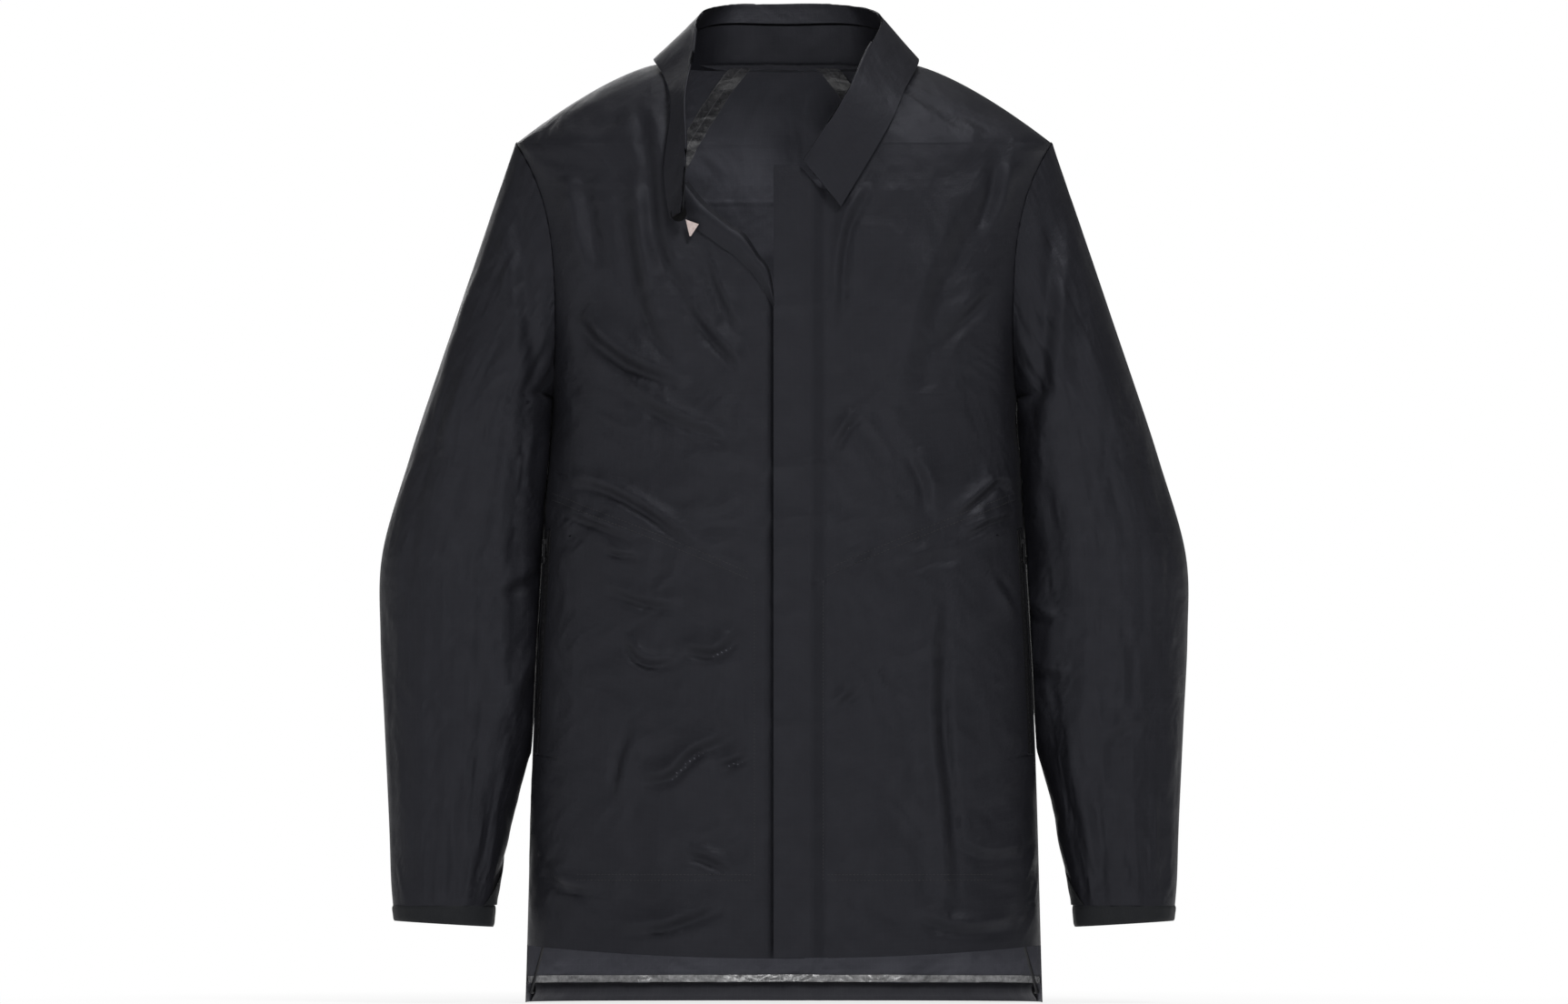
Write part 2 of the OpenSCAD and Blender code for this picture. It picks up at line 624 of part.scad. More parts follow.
module back_ring_strip(z_from, z_to, rows, depth_in, thickness, from_a) {
    cols = 18;
    sheet([for (i = [0:rows]) [for (j = [0:cols])
        body_point(mix(from_a, 360 - from_a, j / cols), mix(z_from, z_to, i / rows), -depth_in)]],
        thickness);
}
module back_hem_tape() {
    color(TAPE_COLOR) back_ring_strip(16, 22, 1, fabric_t + 1.1, 0.4, 92);
}
module back_hem_facing() {
    color(TRIM_COLOR) back_ring_strip(0.5, 15, 1, 4.6, 0.7, 101);
}
module front_hem_facing(edge) {
    cols = 10;
    sheet([for (i = [0, 1]) [for (j = [0:cols])
        let (s = j / cols, z = front_hem(s) + mix(0.5, 18, i))
        body_point(mix(angle_at_x(lookup(z, edge) + 4, z), 88, s), z, -fabric_t - 0.4)]], 0.5);
}
module front_hem_facings() {
    color(INNER_COLOR) {
        front_hem_facing(LEFT_EDGE);
        mirror([1, 0, 0]) front_hem_facing(RIGHT_EDGE);
    }
}

// ---------------------------------------------------------------- hem drawcord

cord_r = 1.25;
cord_z = 8;
lock_x = half_w(57) - 16;
lock_y = mid_y - 14;
lock_z = 57;
// How far the knot at each end of the cord stands in front of its lock
knot_reach = 24;
knot_r = 2.6;

// Points of the cord's left half, each with the cord's radius there: the knot, the straight
// through the lock, the climb down inside the side seam, and the start of the hem channel
function cord_end(low) =
    let (
        knot = [lock_x, lock_y - knot_reach, lock_z],
        corner = [lock_x, lock_y + 16, lock_z]
    )
    concat(
        [for (step = [-1, -0.75, 0, 0.75, 1])
            [knot + [0, step * knot_r, 0],
             step == 1 ? cord_r : max(0.5, knot_r * sqrt(1 - step * step))]],
        [for (t = [0, 0.5, 0.92]) [mix(knot + [0, 2 * knot_r, 0], corner, t), cord_r]],
        [for (t = [0.08, 0.5, 0.93]) [mix(corner, low, t), cord_r]]);

// The cord lies in the hem channel, climbs inside each side seam and passes through a lock
module hem_drawcord() {
    steps = 30;
    start_a = 97;
    channel = [for (i = [0:steps])
        body_point(mix(start_a, 360 - start_a, i / steps), cord_z, -fabric_t - 2.1)];
    left = cord_end(channel[0]);
    right = [for (i = [len(left) - 1:-1:0]) [[-left[i][0][0], left[i][0][1], left[i][0][2]], left[i][1]]];
    color(BLACK_COLOR)
        cord_tube(concat(left, [for (p = channel) [p, cord_r]], right), 10);
}
// Round tube along a list of [point, radius], as a solid
module cord_tube(path, sides) {
    last = len(path) - 1;
    points = [for (i = [0:last])
        let (
            w = unit(path[min(last, i + 1)][0] - path[max(0, i - 1)][0]),
            u = unit(cross([0, 0, 1], w)),
            n = cross(w, u)
        )
        for (k = [0:sides - 1])
            path[i][0] + path[i][1] * (cos(k * 360 / sides) * u + sin(k * 360 / sides) * n)];
    walls = [for (i = [0:last - 1]) for (k = [0:sides - 1])
        let (a = i * sides + k, b = i * sides + (k + 1) % sides, c = b + sides, d = a + sides)
        each [[a, c, b], [a, d, c]]];
    caps = [for (k = [1:sides - 2]) each
        [[0, k, k + 1], [last * sides, last * sides + k + 1, last * sides + k]]];
    polyhedron(points = points, faces = concat(walls, caps));
}

lock_half_w = 5;
lock_h = 16;
lock_bore_r = 3.1;
button_r = 3.0;
spring_h = 4;
module in_lock_frame() {
    translate([lock_x, lock_y, lock_z - lock_h / 2]) children();
}

// Barrel of the cord lock, with a bore for its button and a cross hole for the cord
module cord_lock() {
    color(BLACK_COLOR) in_lock_frame()
        difference() {
            cylinder(h = lock_h, r = lock_half_w, $fn = 48);
            translate([0, 0, 1.2]) cylinder(h = lock_h, r = lock_bore_r, $fn = 48);
            translate([0, 0, lock_h / 2]) rotate([90, 0, 0])
                cylinder(h = 4 * lock_half_w, r = cord_r + 0.25, center = true, $fn = 32);
        }
}

// Button with a long hole, so that it can travel while the cord stays put
button_travel = 2.5;
module cord_lock_button() {
    color(BLACK_COLOR) in_lock_frame()
        difference() {
            union() {
                translate([0, 0, 1.3 + spring_h])
                    cylinder(h = lock_h - spring_h - 1.3 + button_travel + 0.4, r = button_r, $fn = 48);
                translate([0, 0, lock_h + button_travel + 0.3])
                    cylinder(h = 2, r = lock_half_w - 0.6, $fn = 48);
            }
            for (lift = [0, button_travel])
                translate([0, 0, lock_h / 2 + lift]) rotate([90, 0, 0])
                    cylinder(h = 4 * lock_half_w, r = cord_r + 0.15, center = true, $fn = 32);
            translate([0, 0, lock_h / 2 + button_travel / 2])
                cube([2 * cord_r + 0.3, 4 * lock_half_w, button_travel], center = true);
        }
}

// Spring under the button
module cord_lock_spring() {
    turns = 3;
    steps = 12 * turns;
    wire_r = 0.22;
    coil_r = 2.1;
    sides = 6;
    path = [for (i = [0:steps])
        [coil_r * cos(i * 30), coil_r * sin(i * 30), mix(wire_r, spring_h - 0.2 - wire_r, i / steps)]];
    color(TAPE_COLOR) in_lock_frame() translate([0, 0, 1.3]) coil_tube(path, wire_r, sides);
}
module coil_tube(path, r, sides) {
    last = len(path) - 1;
    points = [for (i = [0:last])
        let (out = unit([path[i][0], path[i][1], 0]))
        for (k = [0:sides - 1])
            path[i] + r * (cos(k * 360 / sides) * out + sin(k * 360 / sides) * [0, 0, 1])];
    walls = [for (i = [0:last - 1]) for (k = [0:sides - 1])
        let (a = i * sides + k, b = i * sides + (k + 1) % sides, c = b + sides, d = a + sides)
        each [[a, b, c], [a, c, d]]];
    caps = [for (k = [1:sides - 2]) each
        [[0, k + 1, k], [last * sides, last * sides + k, last * sides + k + 1]]];
    polyhedron(points = points, faces = concat(walls, caps));
}

module cord_lock_left() { cord_lock(); }
module cord_lock_right() { mirror([1, 0, 0]) cord_lock(); }
module cord_lock_button_left() { cord_lock_button(); }
module cord_lock_button_right() { mirror([1, 0, 0]) cord_lock_button(); }
module cord_lock_spring_left() { cord_lock_spring(); }
module cord_lock_spring_right() { mirror([1, 0, 0]) cord_lock_spring(); }

// ---------------------------------------------------------------- loop and label

// Webbing loop outside the back neck seam, under the collar
module hang_loop() {
    loop_w = 54;
    loop_drop = 12;
    loop_t = 1.2;
    band = 2.2;
    gap = 0.6;
    z = back_neck_z - 6;
    lean = atan2(back_y(0, z - 4) - back_y(0, z + 4), 8);
    color(TRIM_COLOR)
        translate([0, back_y(0, z) + (gap + loop_t) * cos(lean), z + (gap + loop_t) * sin(lean)])
            rotate([90 + lean, 0, 0])
                linear_extrude(loop_t)
                    difference() {
                        hull() for (side = [-1, 1])
                            translate([side * (loop_w - loop_drop) / 2, 0])
                                circle(d = loop_drop, $fn = 40);
                        hull() for (side = [-1, 1])
                            translate([side * (loop_w - loop_drop) / 2, 0])
                                circle(d = loop_drop - 2 * band, $fn = 40);
                    }
}

// Small blank tab at the right front, below the collar's end
module side_label() {
    color(LABEL_COLOR)
        translate([-79, front_y(-79, 656, 6.5), 656]) rotate([90, 0, 0])
            linear_extrude(0.5) polygon([[-4, 6], [7, 2], [-1, -8]]);
}

// ---------------------------------------------------------------- nodes

front_left_upper();
front_right_upper();
front_left_lower();
front_right_lower();
back_yoke();
back_panel();
upper_sleeve_left();
upper_sleeve_right();
forearm_sleeve_left();
forearm_sleeve_right();
cuff_band_left();
cuff_band_right();
cuff_gusset_left();
cuff_gusset_right();
collar_stand();
collar_fall();
collar_snap_stud();
collar_snap_socket();
placket_flap();
placket_carrier();
lapel_facing();
snap_sockets();
snap_studs();
pocket_welt_left();
pocket_welt_right();
pocket_zip_left();
pocket_zip_right();
zip_slider_left();
zip_slider_right();
zip_puller_left();
zip_puller_right();
pocket_bag_left();
pocket_bag_right();
shoulder_seam_tapes();
back_hem_tape();
back_hem_facing();
front_hem_facings();
hem_drawcord();
cord_lock_left();
cord_lock_right();
cord_lock_button_left();
cord_lock_button_right();
cord_lock_spring_left();
cord_lock_spring_right();
hang_loop();
side_label();
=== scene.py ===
"""Looks of the hardshell jacket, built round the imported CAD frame.

Shapes are worked out in millimetres and turned into metres when a mesh is made. The jacket's
front faces -Y, the wearer's left is +X and the back hem lies at z 0.
"""

import math

import bpy
import numpy as np
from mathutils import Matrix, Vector


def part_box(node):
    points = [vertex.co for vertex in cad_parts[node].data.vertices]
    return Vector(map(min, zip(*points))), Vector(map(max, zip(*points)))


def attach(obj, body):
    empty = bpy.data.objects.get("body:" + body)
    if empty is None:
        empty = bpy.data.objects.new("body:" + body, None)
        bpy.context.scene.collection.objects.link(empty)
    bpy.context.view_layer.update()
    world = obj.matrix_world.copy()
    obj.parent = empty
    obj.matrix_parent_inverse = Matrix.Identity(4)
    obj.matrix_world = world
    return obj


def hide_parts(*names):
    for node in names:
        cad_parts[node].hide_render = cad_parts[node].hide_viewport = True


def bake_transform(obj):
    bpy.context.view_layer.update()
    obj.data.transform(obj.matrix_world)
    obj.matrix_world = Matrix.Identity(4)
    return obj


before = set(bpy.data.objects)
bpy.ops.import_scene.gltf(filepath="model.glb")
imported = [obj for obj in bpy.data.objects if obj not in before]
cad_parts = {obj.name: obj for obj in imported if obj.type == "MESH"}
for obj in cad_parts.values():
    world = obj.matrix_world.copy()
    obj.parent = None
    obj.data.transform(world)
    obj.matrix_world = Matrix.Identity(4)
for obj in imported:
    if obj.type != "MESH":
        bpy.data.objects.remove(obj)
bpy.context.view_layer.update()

MM = 0.001


def box_mm(node):
    """Lowest and highest corner of a CAD node, in millimetres."""
    low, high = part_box(node)
    return np.array(low) / MM, np.array(high) / MM


# ---------------------------------------------------------------- sizes

BACK_LOW, BACK_HIGH = box_mm("back_panel")
UPPER_LOW, UPPER_HIGH = box_mm("front_left_upper")
LOWER_LOW, LOWER_HIGH = box_mm("front_left_lower")
FLAP_LOW, FLAP_HIGH = box_mm("placket_flap")

# Share of the body's depth that lies in front of its mid-plane
FRONT_SHARE = 93 / 191
BODY_DEPTH = BACK_HIGH[1] - LOWER_LOW[1]
FRONT_DEPTH = BODY_DEPTH * FRONT_SHARE
BACK_DEPTH = BODY_DEPTH - FRONT_DEPTH
MID_Y = LOWER_LOW[1] + FRONT_DEPTH

HEM_HALF_W = BACK_HIGH[0]
WAIST_HALF_W = 202
CHEST_HALF_W = 197
SHOULDER_HALF_W = UPPER_HIGH[0]
NECK_HALF_W = 105
SHOULDER_Z = 727
NECK_POINT_Z = UPPER_HIGH[2]
BACK_NECK_Z = box_mm("back_yoke")[1][2]
YOKE_Z = BACK_HIGH[2] + 0.4
UNDERARM_Z = 515
FRONT_NECK_Z = FLAP_HIGH[2]
FRONT_HEM_Z = LOWER_LOW[2]
SIDE_HEM_Z = FRONT_HEM_Z + 11
CROWN_Z = 560
DOME_Z = 800
# The armhole's reach in front of and behind the mid-plane
ARMHOLE_FRONT = 46
ARMHOLE_BACK = 54
ARMHOLE_MID_Z = (UNDERARM_Z + SHOULDER_Z) / 2
ARMHOLE_HALF_H = (SHOULDER_Z - UNDERARM_Z) / 2
# The placket: its free edge, its stitched line, and where it has merged with the front panel
FLAP_EDGE_X = FLAP_LOW[0]
FLAP_STITCH_X = 33
FLAP_MERGE_X = 37
FLAP_OUT = 4.4
# Ends of the slanted seam across each front
SLANT_LOW_Z = 356
SLANT_HIGH_Z = 426
# Pocket opening
POCKET_LOW_Z = box_mm("pocket_welt_left")[0][2]
POCKET_HIGH_Z = box_mm("pocket_welt_left")[1][2]
POCKET_FRONT_REACH = 36
POCKET_BACK_REACH = 20
# Height of the pocket bags' lower stitched line
POCKET_STITCH_Z = 109

FABRIC_T = 0.8
# Distance between neighbouring points of the fabric meshes
POINT_GAP = 3.1


# ---------------------------------------------------------------- helpers

def mix(a, b, t):
    return a + (b - a) * t


def smooth(t):
    t = np.clip(t, 0, 1)
    return t * t * (3 - 2 * t)


def window(value, low, high, soft):
    """1 between low and high, falling to 0 over a soft distance outside them."""
    return smooth((value - low + soft) / soft) * smooth((high + soft - value) / soft)


def unit(v):
    return v / np.maximum(np.linalg.norm(v, axis=-1, keepdims=True), 1e-9)


def smooth_lookup(knots, at):
    """Value of a smooth curve through (position, value) knots."""
    kx, kv = np.array(knots, float).T
    at = np.clip(np.asarray(at, float), kx[0], kx[-1])
    slope = np.gradient(kv, kx)
    i = np.clip(np.searchsorted(kx, at, side="right") - 1, 0, len(kx) - 2)
    span = kx[i + 1] - kx[i]
    u = (at - kx[i]) / span
    return (
        (2 * u**3 - 3 * u**2 + 1) * kv[i]
        + (u**3 - 2 * u**2 + u) * span * slope[i]
        + (3 * u**2 - 2 * u**3) * kv[i + 1]
        + (u**3 - u**2) * span * slope[i + 1]
    )


def along(points, t):
    """Points of a smooth curve through a list of points, at an array of t from 0 to 1."""
    pts = np.array(points, float)
    last = len(pts) - 1
    f = np.clip(np.asarray(t, float) * last, 0, last - 1e-6)
    i = f.astype(int)
    u = (f - i)[..., None]
    p0, p1 = pts[np.maximum(i - 1, 0)], pts[i]
    p2, p3 = pts[i + 1], pts[np.minimum(i + 2, last)]
    return 0.5 * (
        2 * p1 + (p2 - p0) * u + (2 * p0 - 5 * p1 + 4 * p2 - p3) * u**2
        + (3 * p1 - p0 - 3 * p2 + p3) * u**3
    )


def lattice_noise(u, v, seed):
    """Smooth noise about zero, with one bump to each unit of u and v."""
    i, j = np.floor(u).astype(np.int64), np.floor(v).astype(np.int64)
    fu, fv = u - i, v - j
    su = fu**3 * (fu * (fu * 6 - 15) + 10)
    sv = fv**3 * (fv * (fv * 6 - 15) + 10)

    def corner(di, dj):
        h = ((i + di) * 374761393 + (j + dj) * 668265263 + seed * 1274126177) & 0xFFFFFFFF
        h = ((h ^ (h >> 13)) * 1274126177) & 0xFFFFFFFF
        angle = (h ^ (h >> 16)) % 6283 / 1000
        return np.cos(angle) * (fu - di) + np.sin(angle) * (fv - dj)

    low = mix(corner(0, 0), corner(1, 0), su)
    high = mix(corner(0, 1), corner(1, 1), su)
    return 1.4 * mix(low, high, sv)


def crumple(u, v, size, seed):
    """Relief of stiff fabric: flat facets between soft creases, about zero, size in millimetres."""
    warp_u = u / size + 0.6 * lattice_noise(u / size * 0.7, v / size * 0.7, seed + 11)
    warp_v = v / size + 0.6 * lattice_noise(u / size * 0.7, v / size * 0.7, seed + 12)
    total = 0
    for octave, share in ((1, 1.0), (2.1, 0.42), (4.3, 0.16)):
        wave = lattice_noise(warp_u * octave, warp_v * octave, seed + int(octave))
        total = total + share * (0.33 - np.sqrt(wave * wave + 0.004))
    return total


# ---------------------------------------------------------------- body surface

WIDTH_KNOTS = [
    (0, HEM_HALF_W), (270, mix(HEM_HALF_W, WAIST_HALF_W, 0.5)), (420, WAIST_HALF_W),
    (530, CHEST_HALF_W), (617, CHEST_HALF_W + 12), (SHOULDER_Z, SHOULDER_HALF_W)]


def half_w(z):
    """Half of the body's width; above the shoulder point it follows the shoulder seam."""
    z = np.asarray(z, float)
    rise = np.clip((z - SHOULDER_Z) / (NECK_POINT_Z - SHOULDER_Z), 0, 1)
    above = mix(NECK_HALF_W, SHOULDER_HALF_W, (1 - rise) ** (1 / 1.4))
    return np.where(z > SHOULDER_Z, above, smooth_lookup(WIDTH_KNOTS, z))


def ring_power(z):
    return mix(2.7, 2.2, smooth((np.asarray(z, float) - CROWN_Z) / (SHOULDER_Z - CROWN_Z)))


def dome(z):
    rise = np.clip((np.asarray(z, float) - CROWN_Z) / (DOME_Z - CROWN_Z), 0, 0.999)
    return (1 - rise**3) ** (1 / 3)


def body_point(a, z, out=0.0):
    """Point on the plain body; 0 degrees is the centre front, 90 the wearer's left side."""
    a = np.radians(a)
    power = 2 / ring_power(z)
    s, c = np.sin(a), np.cos(a)
    depth = np.where(c > 0, FRONT_DEPTH, BACK_DEPTH) * dome(z) + out
    x = np.sign(s) * (half_w(z) + out) * np.abs(s) ** power
    y = MID_Y - np.sign(c) * depth * np.abs(c) ** power
    return np.stack(np.broadcast_arrays(x, y, np.asarray(z, float)), -1)


def angle_at_x(x, z):
    share = np.minimum(1, np.abs(x) / half_w(z)) ** (ring_power(z) / 2)
    return np.sign(x) * np.degrees(np.arcsin(share))


def angle_from_side(reach, z, depth):
    share = np.minimum(1, (reach / (depth * dome(z))) ** (ring_power(z) / 2))
    return 90 - np.degrees(np.arccos(share))


def armhole_angle(z, reach, depth):
    """Angle between the side seam and the armhole's edge, in front of it or behind it."""
    span = np.clip((z - ARMHOLE_MID_Z) / ARMHOLE_HALF_H, -1, 1)
    return angle_from_side(reach * np.sqrt(1 - span**2), z, depth)


def front_y(x, z, out=0.0):
    return body_point(angle_at_x(x, z), z, out)[..., 1]


def back_y(x, z, out=0.0):
    return body_point(180 - angle_at_x(x, z), z, out)[..., 1]


# Distance round the body, in millimetres from the centre front, against the angle
ARC_ANGLES = np.linspace(-180, 360, 10801)
ARC_POINTS = body_point(ARC_ANGLES, np.full(ARC_ANGLES.shape, 300.0))
ARC_LENGTHS = np.concatenate([[0], np.cumsum(np.linalg.norm(np.diff(ARC_POINTS, axis=0), axis=1))])
ARC_LENGTHS -= np.interp(0, ARC_ANGLES, ARC_LENGTHS)


def arc_at(a):
    return np.interp(a, ARC_ANGLES, ARC_LENGTHS)


def angle_at_arc(arc):
    return np.interp(arc, ARC_LENGTHS, ARC_ANGLES)


def slant_z(x):
    """Height of the slanted front seam at a distance x from the centre."""
    inner = 29
    return mix(SLANT_LOW_Z, SLANT_HIGH_Z, np.clip((np.abs(x) - inner) / (202 - inner), 0, 1) ** 0.95)


def front_hem_z(x):
    return mix(FRONT_HEM_Z, SIDE_HEM_Z, np.clip(np.abs(x) / HEM_HALF_W, 0, 1) ** 2)


# ---------------------------------------------------------------- folds

# Each fold is its crest as (x, z) points seen from the front, its height, its half width, and
# the side (+1 or -1, looking along the crest) on which its hollow lies
FRONT_FOLDS = [
    # wearer's right chest
    (((-79, 597), (-60, 570), (-33, 540)), 4.5, 8, 1),
    (((-25, 595), (-18, 575), (-8, 555)), 3.0, 6, 1),
    (((-172, 585), (-133, 550), (-86, 531)), 4.0, 10, 1),
    (((-183, 700), (-176, 655), (-166, 617)), 4.0, 12, -1),
    (((-126, 692), (-118, 630), (-104, 575), (-86, 550)), 3.5, 12, 1),
    (((-135, 525), (-90, 500), (-45, 483)), 3.0, 10, 1),
    (((-112, 760), (-104, 715), (-96, 640), (-70, 600)), 3.5, 11, 1),
    (((-60, 628), (-50, 600), (-38, 575)), 2.6, 7, 1),
    # wearer's left chest
    (((190, 712), (186, 680), (176, 650)), 4.0, 10, 1),
    (((66, 690), (50, 660), (43, 625), (41, 579)), 3.0, 7, -1),
    (((174, 612), (152, 590), (120, 562)), 3.0, 11, -1),
    (((60, 500), (48, 487), (38, 470)), 2.4, 6, -1),
    (((160, 690), (130, 640), (112, 590), (100, 520)), 2.6, 16, -1),
    (((110, 469), (124, 443), (128, 416)), 2.6, 8, 1),
    # wearer's right waist
    (((-180, 446), (-150, 440), (-112, 420), (-74, 392)), 5.0, 8, 1),
    (((-186, 419), (-160, 410), (-130, 397)), 4.0, 6, 1),
    (((-150, 386), (-138, 383), (-124, 381)), 3.4, 5, 1),
    (((-150, 356), (-120, 344), (-92, 340)), 2.4, 7, 1),
    (((-133, 311), (-116, 293), (-93, 294)), 3.0, 7, 1),
    (((-84, 306), (-60, 302), (-45, 314)), 3.0, 8, 1),
    # wearer's left waist
    (((142, 414), (165, 433), (180, 444), (198, 438)), 4.6, 7, 1),
    (((150, 398), (172, 410), (194, 416)), 3.4, 6, 1),
    (((176, 357), (188, 340), (200, 322)), 3.0, 7, -1),
    (((92, 372), (120, 382), (150, 386)), 2.0, 9, 1),
    # lower right front
    (((-122, 196), (-100, 197), (-80, 216), (-49, 230)), 3.4, 8, 1),
    (((-139, 168), (-133, 200), (-123, 235)), 2.6, 8, -1),
    (((-58, 204), (-44, 208), (-29, 214)), 2.4, 6, 1),
    (((-82, 132), (-60, 125), (-41, 115)), 2.8, 7, 1),
    (((-136, 68), (-102, 70), (-61, 85)), 3.2, 8, 1),
    (((-200, 118), (-184, 104), (-160, 100)), 3.0, 8, 1),
    # lower left front
    (((8, 70), (22, 92), (44, 116)), 3.0, 8, -1),
    (((116, 78), (150, 68), (192, 70)), 3.0, 8, 1),
    (((127, 330), (124, 246), (132, 160), (137, 86)), 4.2, 10, -1),
    (((36, 250), (50, 262), (60, 268)), 2.0, 6, 1),
    (((150, 140), (172, 130), (200, 134)), 2.4, 8, 1),
]
# Ripples across the placket: height and strength
PLACKET_RIPPLES = [(590, 1.0), (454, 1.5), (411, 1.7), (394, -0.5), (330, 0.8), (236, 1.0), (150, 0.8)]

BACK_FOLDS = [
    (((-170, 640), (-120, 600), (-60, 585)), 3.2, 14, 1),
    (((170, 650), (130, 600), (70, 575)), 3.2, 14, -1),
    (((-165, 560), (-110, 500), (-60, 430)), 3.0, 14, 1),
    (((165, 555), (120, 500), (80, 420)), 3.0, 14, -1),
    (((-185, 440), (-120, 410), (-40, 404)), 3.6, 10, 1),
    (((185, 436), (130, 405), (60, 398)), 3.6, 10, -1),
    (((-110, 380), (-104, 250), (-118, 90)), 3.4, 15, 1),
    (((20, 420), (12, 260), (26, 60)), 2.6, 18, -1),
    (((120, 370), (128, 220), (120, 70)), 3.4, 15, -1),
    (((-40, 350), (10, 338), (60, 346)), 2.4, 9, 1),
]


def fold_relief(folds, x, z):
    """Height of a list of folds over points seen flat, in millimetres."""
    shape = np.shape(x)
    px, pz = np.ravel(x), np.ravel(z)
    total = np.zeros(px.shape)
    for crest, height, width, side in folds:
        line = along(crest, np.linspace(0, 1, 4 * len(crest)))
        low, high = line.min(0) - 4 * width, line.max(0) + 4 * width
        near = np.flatnonzero((px > low[0]) & (px < high[0]) & (pz > low[1]) & (pz < high[1]))
        if not len(near):
            continue
        point = np.stack([px[near], pz[near]], -1)[:, None, :]
        start, step = line[:-1], np.diff(line, axis=0)
        length = np.linalg.norm(step, axis=1)
        share = np.clip(((point - start) * step).sum(-1) / length**2, 0, 1)
        offset = point - (start + share[..., None] * step)
        gap = np.linalg.norm(offset, axis=-1)
        best = gap.argmin(1)
        rows = np.arange(len(near))
        run = np.concatenate([[0], np.cumsum(length)])
        t = (run[best] + share[rows, best] * length[best]) / run[-1]
        nearest = offset[rows, best]
        turn = step[best, 0] * nearest[:, 1] - step[best, 1] * nearest[:, 0]
        d = gap[rows, best] * np.sign(turn) * -side / width
        taper = np.sin(np.pi * np.clip(t, 0.01, 0.99)) ** 0.55
        crest_part = np.exp(-(np.abs(d) ** 1.5))
        hollow = 0.9 * np.exp(-(((d - 1.05) / 0.62) ** 2))
        total[near] += min(height, 0.42 * width) * taper * (crest_part - hollow)
    return total.reshape(shape)


def seam_groove(d, along_seam, depth=0.55, seed=5):
    """A sewn seam at distance d: a narrow groove with small puckers beside it."""
    groove = -depth * np.exp(-((d / 1.3) ** 2))
    pucker = lattice_noise(along_seam / 7.5, d * 0 + 3.5, seed) * np.exp(-((d / 9) ** 2))
    return groove + 0.55 * pucker


def still_reach(z, is_front):
    """How far from the mid-plane the fabric is held by the side seam, armhole or pocket edge."""
    span = np.clip((z - ARMHOLE_MID_Z) / ARMHOLE_HALF_H, -1, 1)
    armhole = np.where(is_front, ARMHOLE_FRONT, ARMHOLE_BACK) * np.sqrt(1 - span**2)
    pocket = POCKET_FRONT_REACH * window(z, POCKET_LOW_Z, POCKET_HIGH_Z, 14) * is_front
    return np.maximum(armhole, pocket)


def torso_relief(a, z):
    """How far the fabric stands off the plain body."""
    a = (np.asarray(a, float) + 90) % 360 - 90
    z = np.asarray(z, float)
    base = body_point(a, z)
    x = base[..., 0]
    arc = arc_at(a)
    is_front = a < 90
    folds = np.where(is_front, fold_relief(FRONT_FOLDS, x, z), fold_relief(BACK_FOLDS, x, z))
    drape = 1.7 * lattice_noise(arc / 75 + 3, z / 150, 21) + 0.8 * lattice_noise(arc / 34, z / 60, 22)
    total = 1.5 * folds + drape + 2.4 * crumple(arc, z, 46, 31)
    # The fabric lies flatter along the placket, at the hems, round the neck and at the sides
    placket = window(x, -26, FLAP_MERGE_X, 16) * is_front
    hem = smooth((z - np.where(is_front, front_hem_z(x), 0)) / 30)
    neck = smooth((NECK_POINT_Z - z) / 60)
    held = np.abs(base[..., 1] - MID_Y) - still_reach(z, is_front)
    total = total * mix(1, 0.12, placket) * mix(0.3, 1, hem) * mix(0.4, 1, neck) * smooth(held / 26)
    # Ripples across the placket
    ripple = 0.5 * lattice_noise(x / 60, z / 26, 41)
    for height, strength in PLACKET_RIPPLES:
        ripple = ripple + strength * np.exp(-(((z - height - 0.14 * (x - 12)) / 6.5) ** 2))
    total = total + ripple * window(x, FLAP_EDGE_X, FLAP_STITCH_X, 14) * is_front
    # Seams
    slant = seam_groove(z - slant_z(x), x) * is_front * smooth((np.abs(x) - 20) / 8)
    yoke = seam_groove(z - YOKE_Z, x, seed=9) * (~is_front)
    return total + slant + yoke


def torso(a, z, out=0.0):
    """Point of the shell's outer face, with its folds."""
    base = body_point(a, z, out)
    step_a = body_point(a + 0.4, z, out) - body_point(a - 0.4, z, out)
    step_z = body_point(a, z + 1.0, out) - body_point(a, z - 1.0, out)
    normal = unit(np.cross(step_a, step_z))
    return base + normal * torso_relief(a, z)[..., None]


def placket_out(x):
    """How far the placket flap stands out from the front, merging with the panel at its seam."""
    return FLAP_OUT * smooth((FLAP_MERGE_X - x) / 17)


# ---------------------------------------------------------------- meshes

def surface_grid(surface, u, v, nudge_u, nudge_v):
    """Points and unit normals of a surface over grids of its two coordinates."""
    points = surface(u, v)
    du = surface(u + nudge_u, v) - surface(u - nudge_u, v)
    dv = surface(u, v + nudge_v) - surface(u, v - nudge_v)
    return points, unit(np.cross(du, dv))


def grid_normals(points, wrap=False):
    if wrap:
        du = np.roll(points, -1, 1) - np.roll(points, 1, 1)
    else:
        du = np.gradient(points, axis=1)
    dv = np.gradient(points, axis=0)
    return unit(np.cross(du, dv))


def grid_run(points, axis):
    """Distance along one axis of a grid, as metres, for the weave's coordinates."""
    steps = np.linalg.norm(np.diff(points, axis=axis), axis=-1).mean(1 - axis)
    run = np.concatenate([[0], np.cumsum(steps)]) * MM
    return run


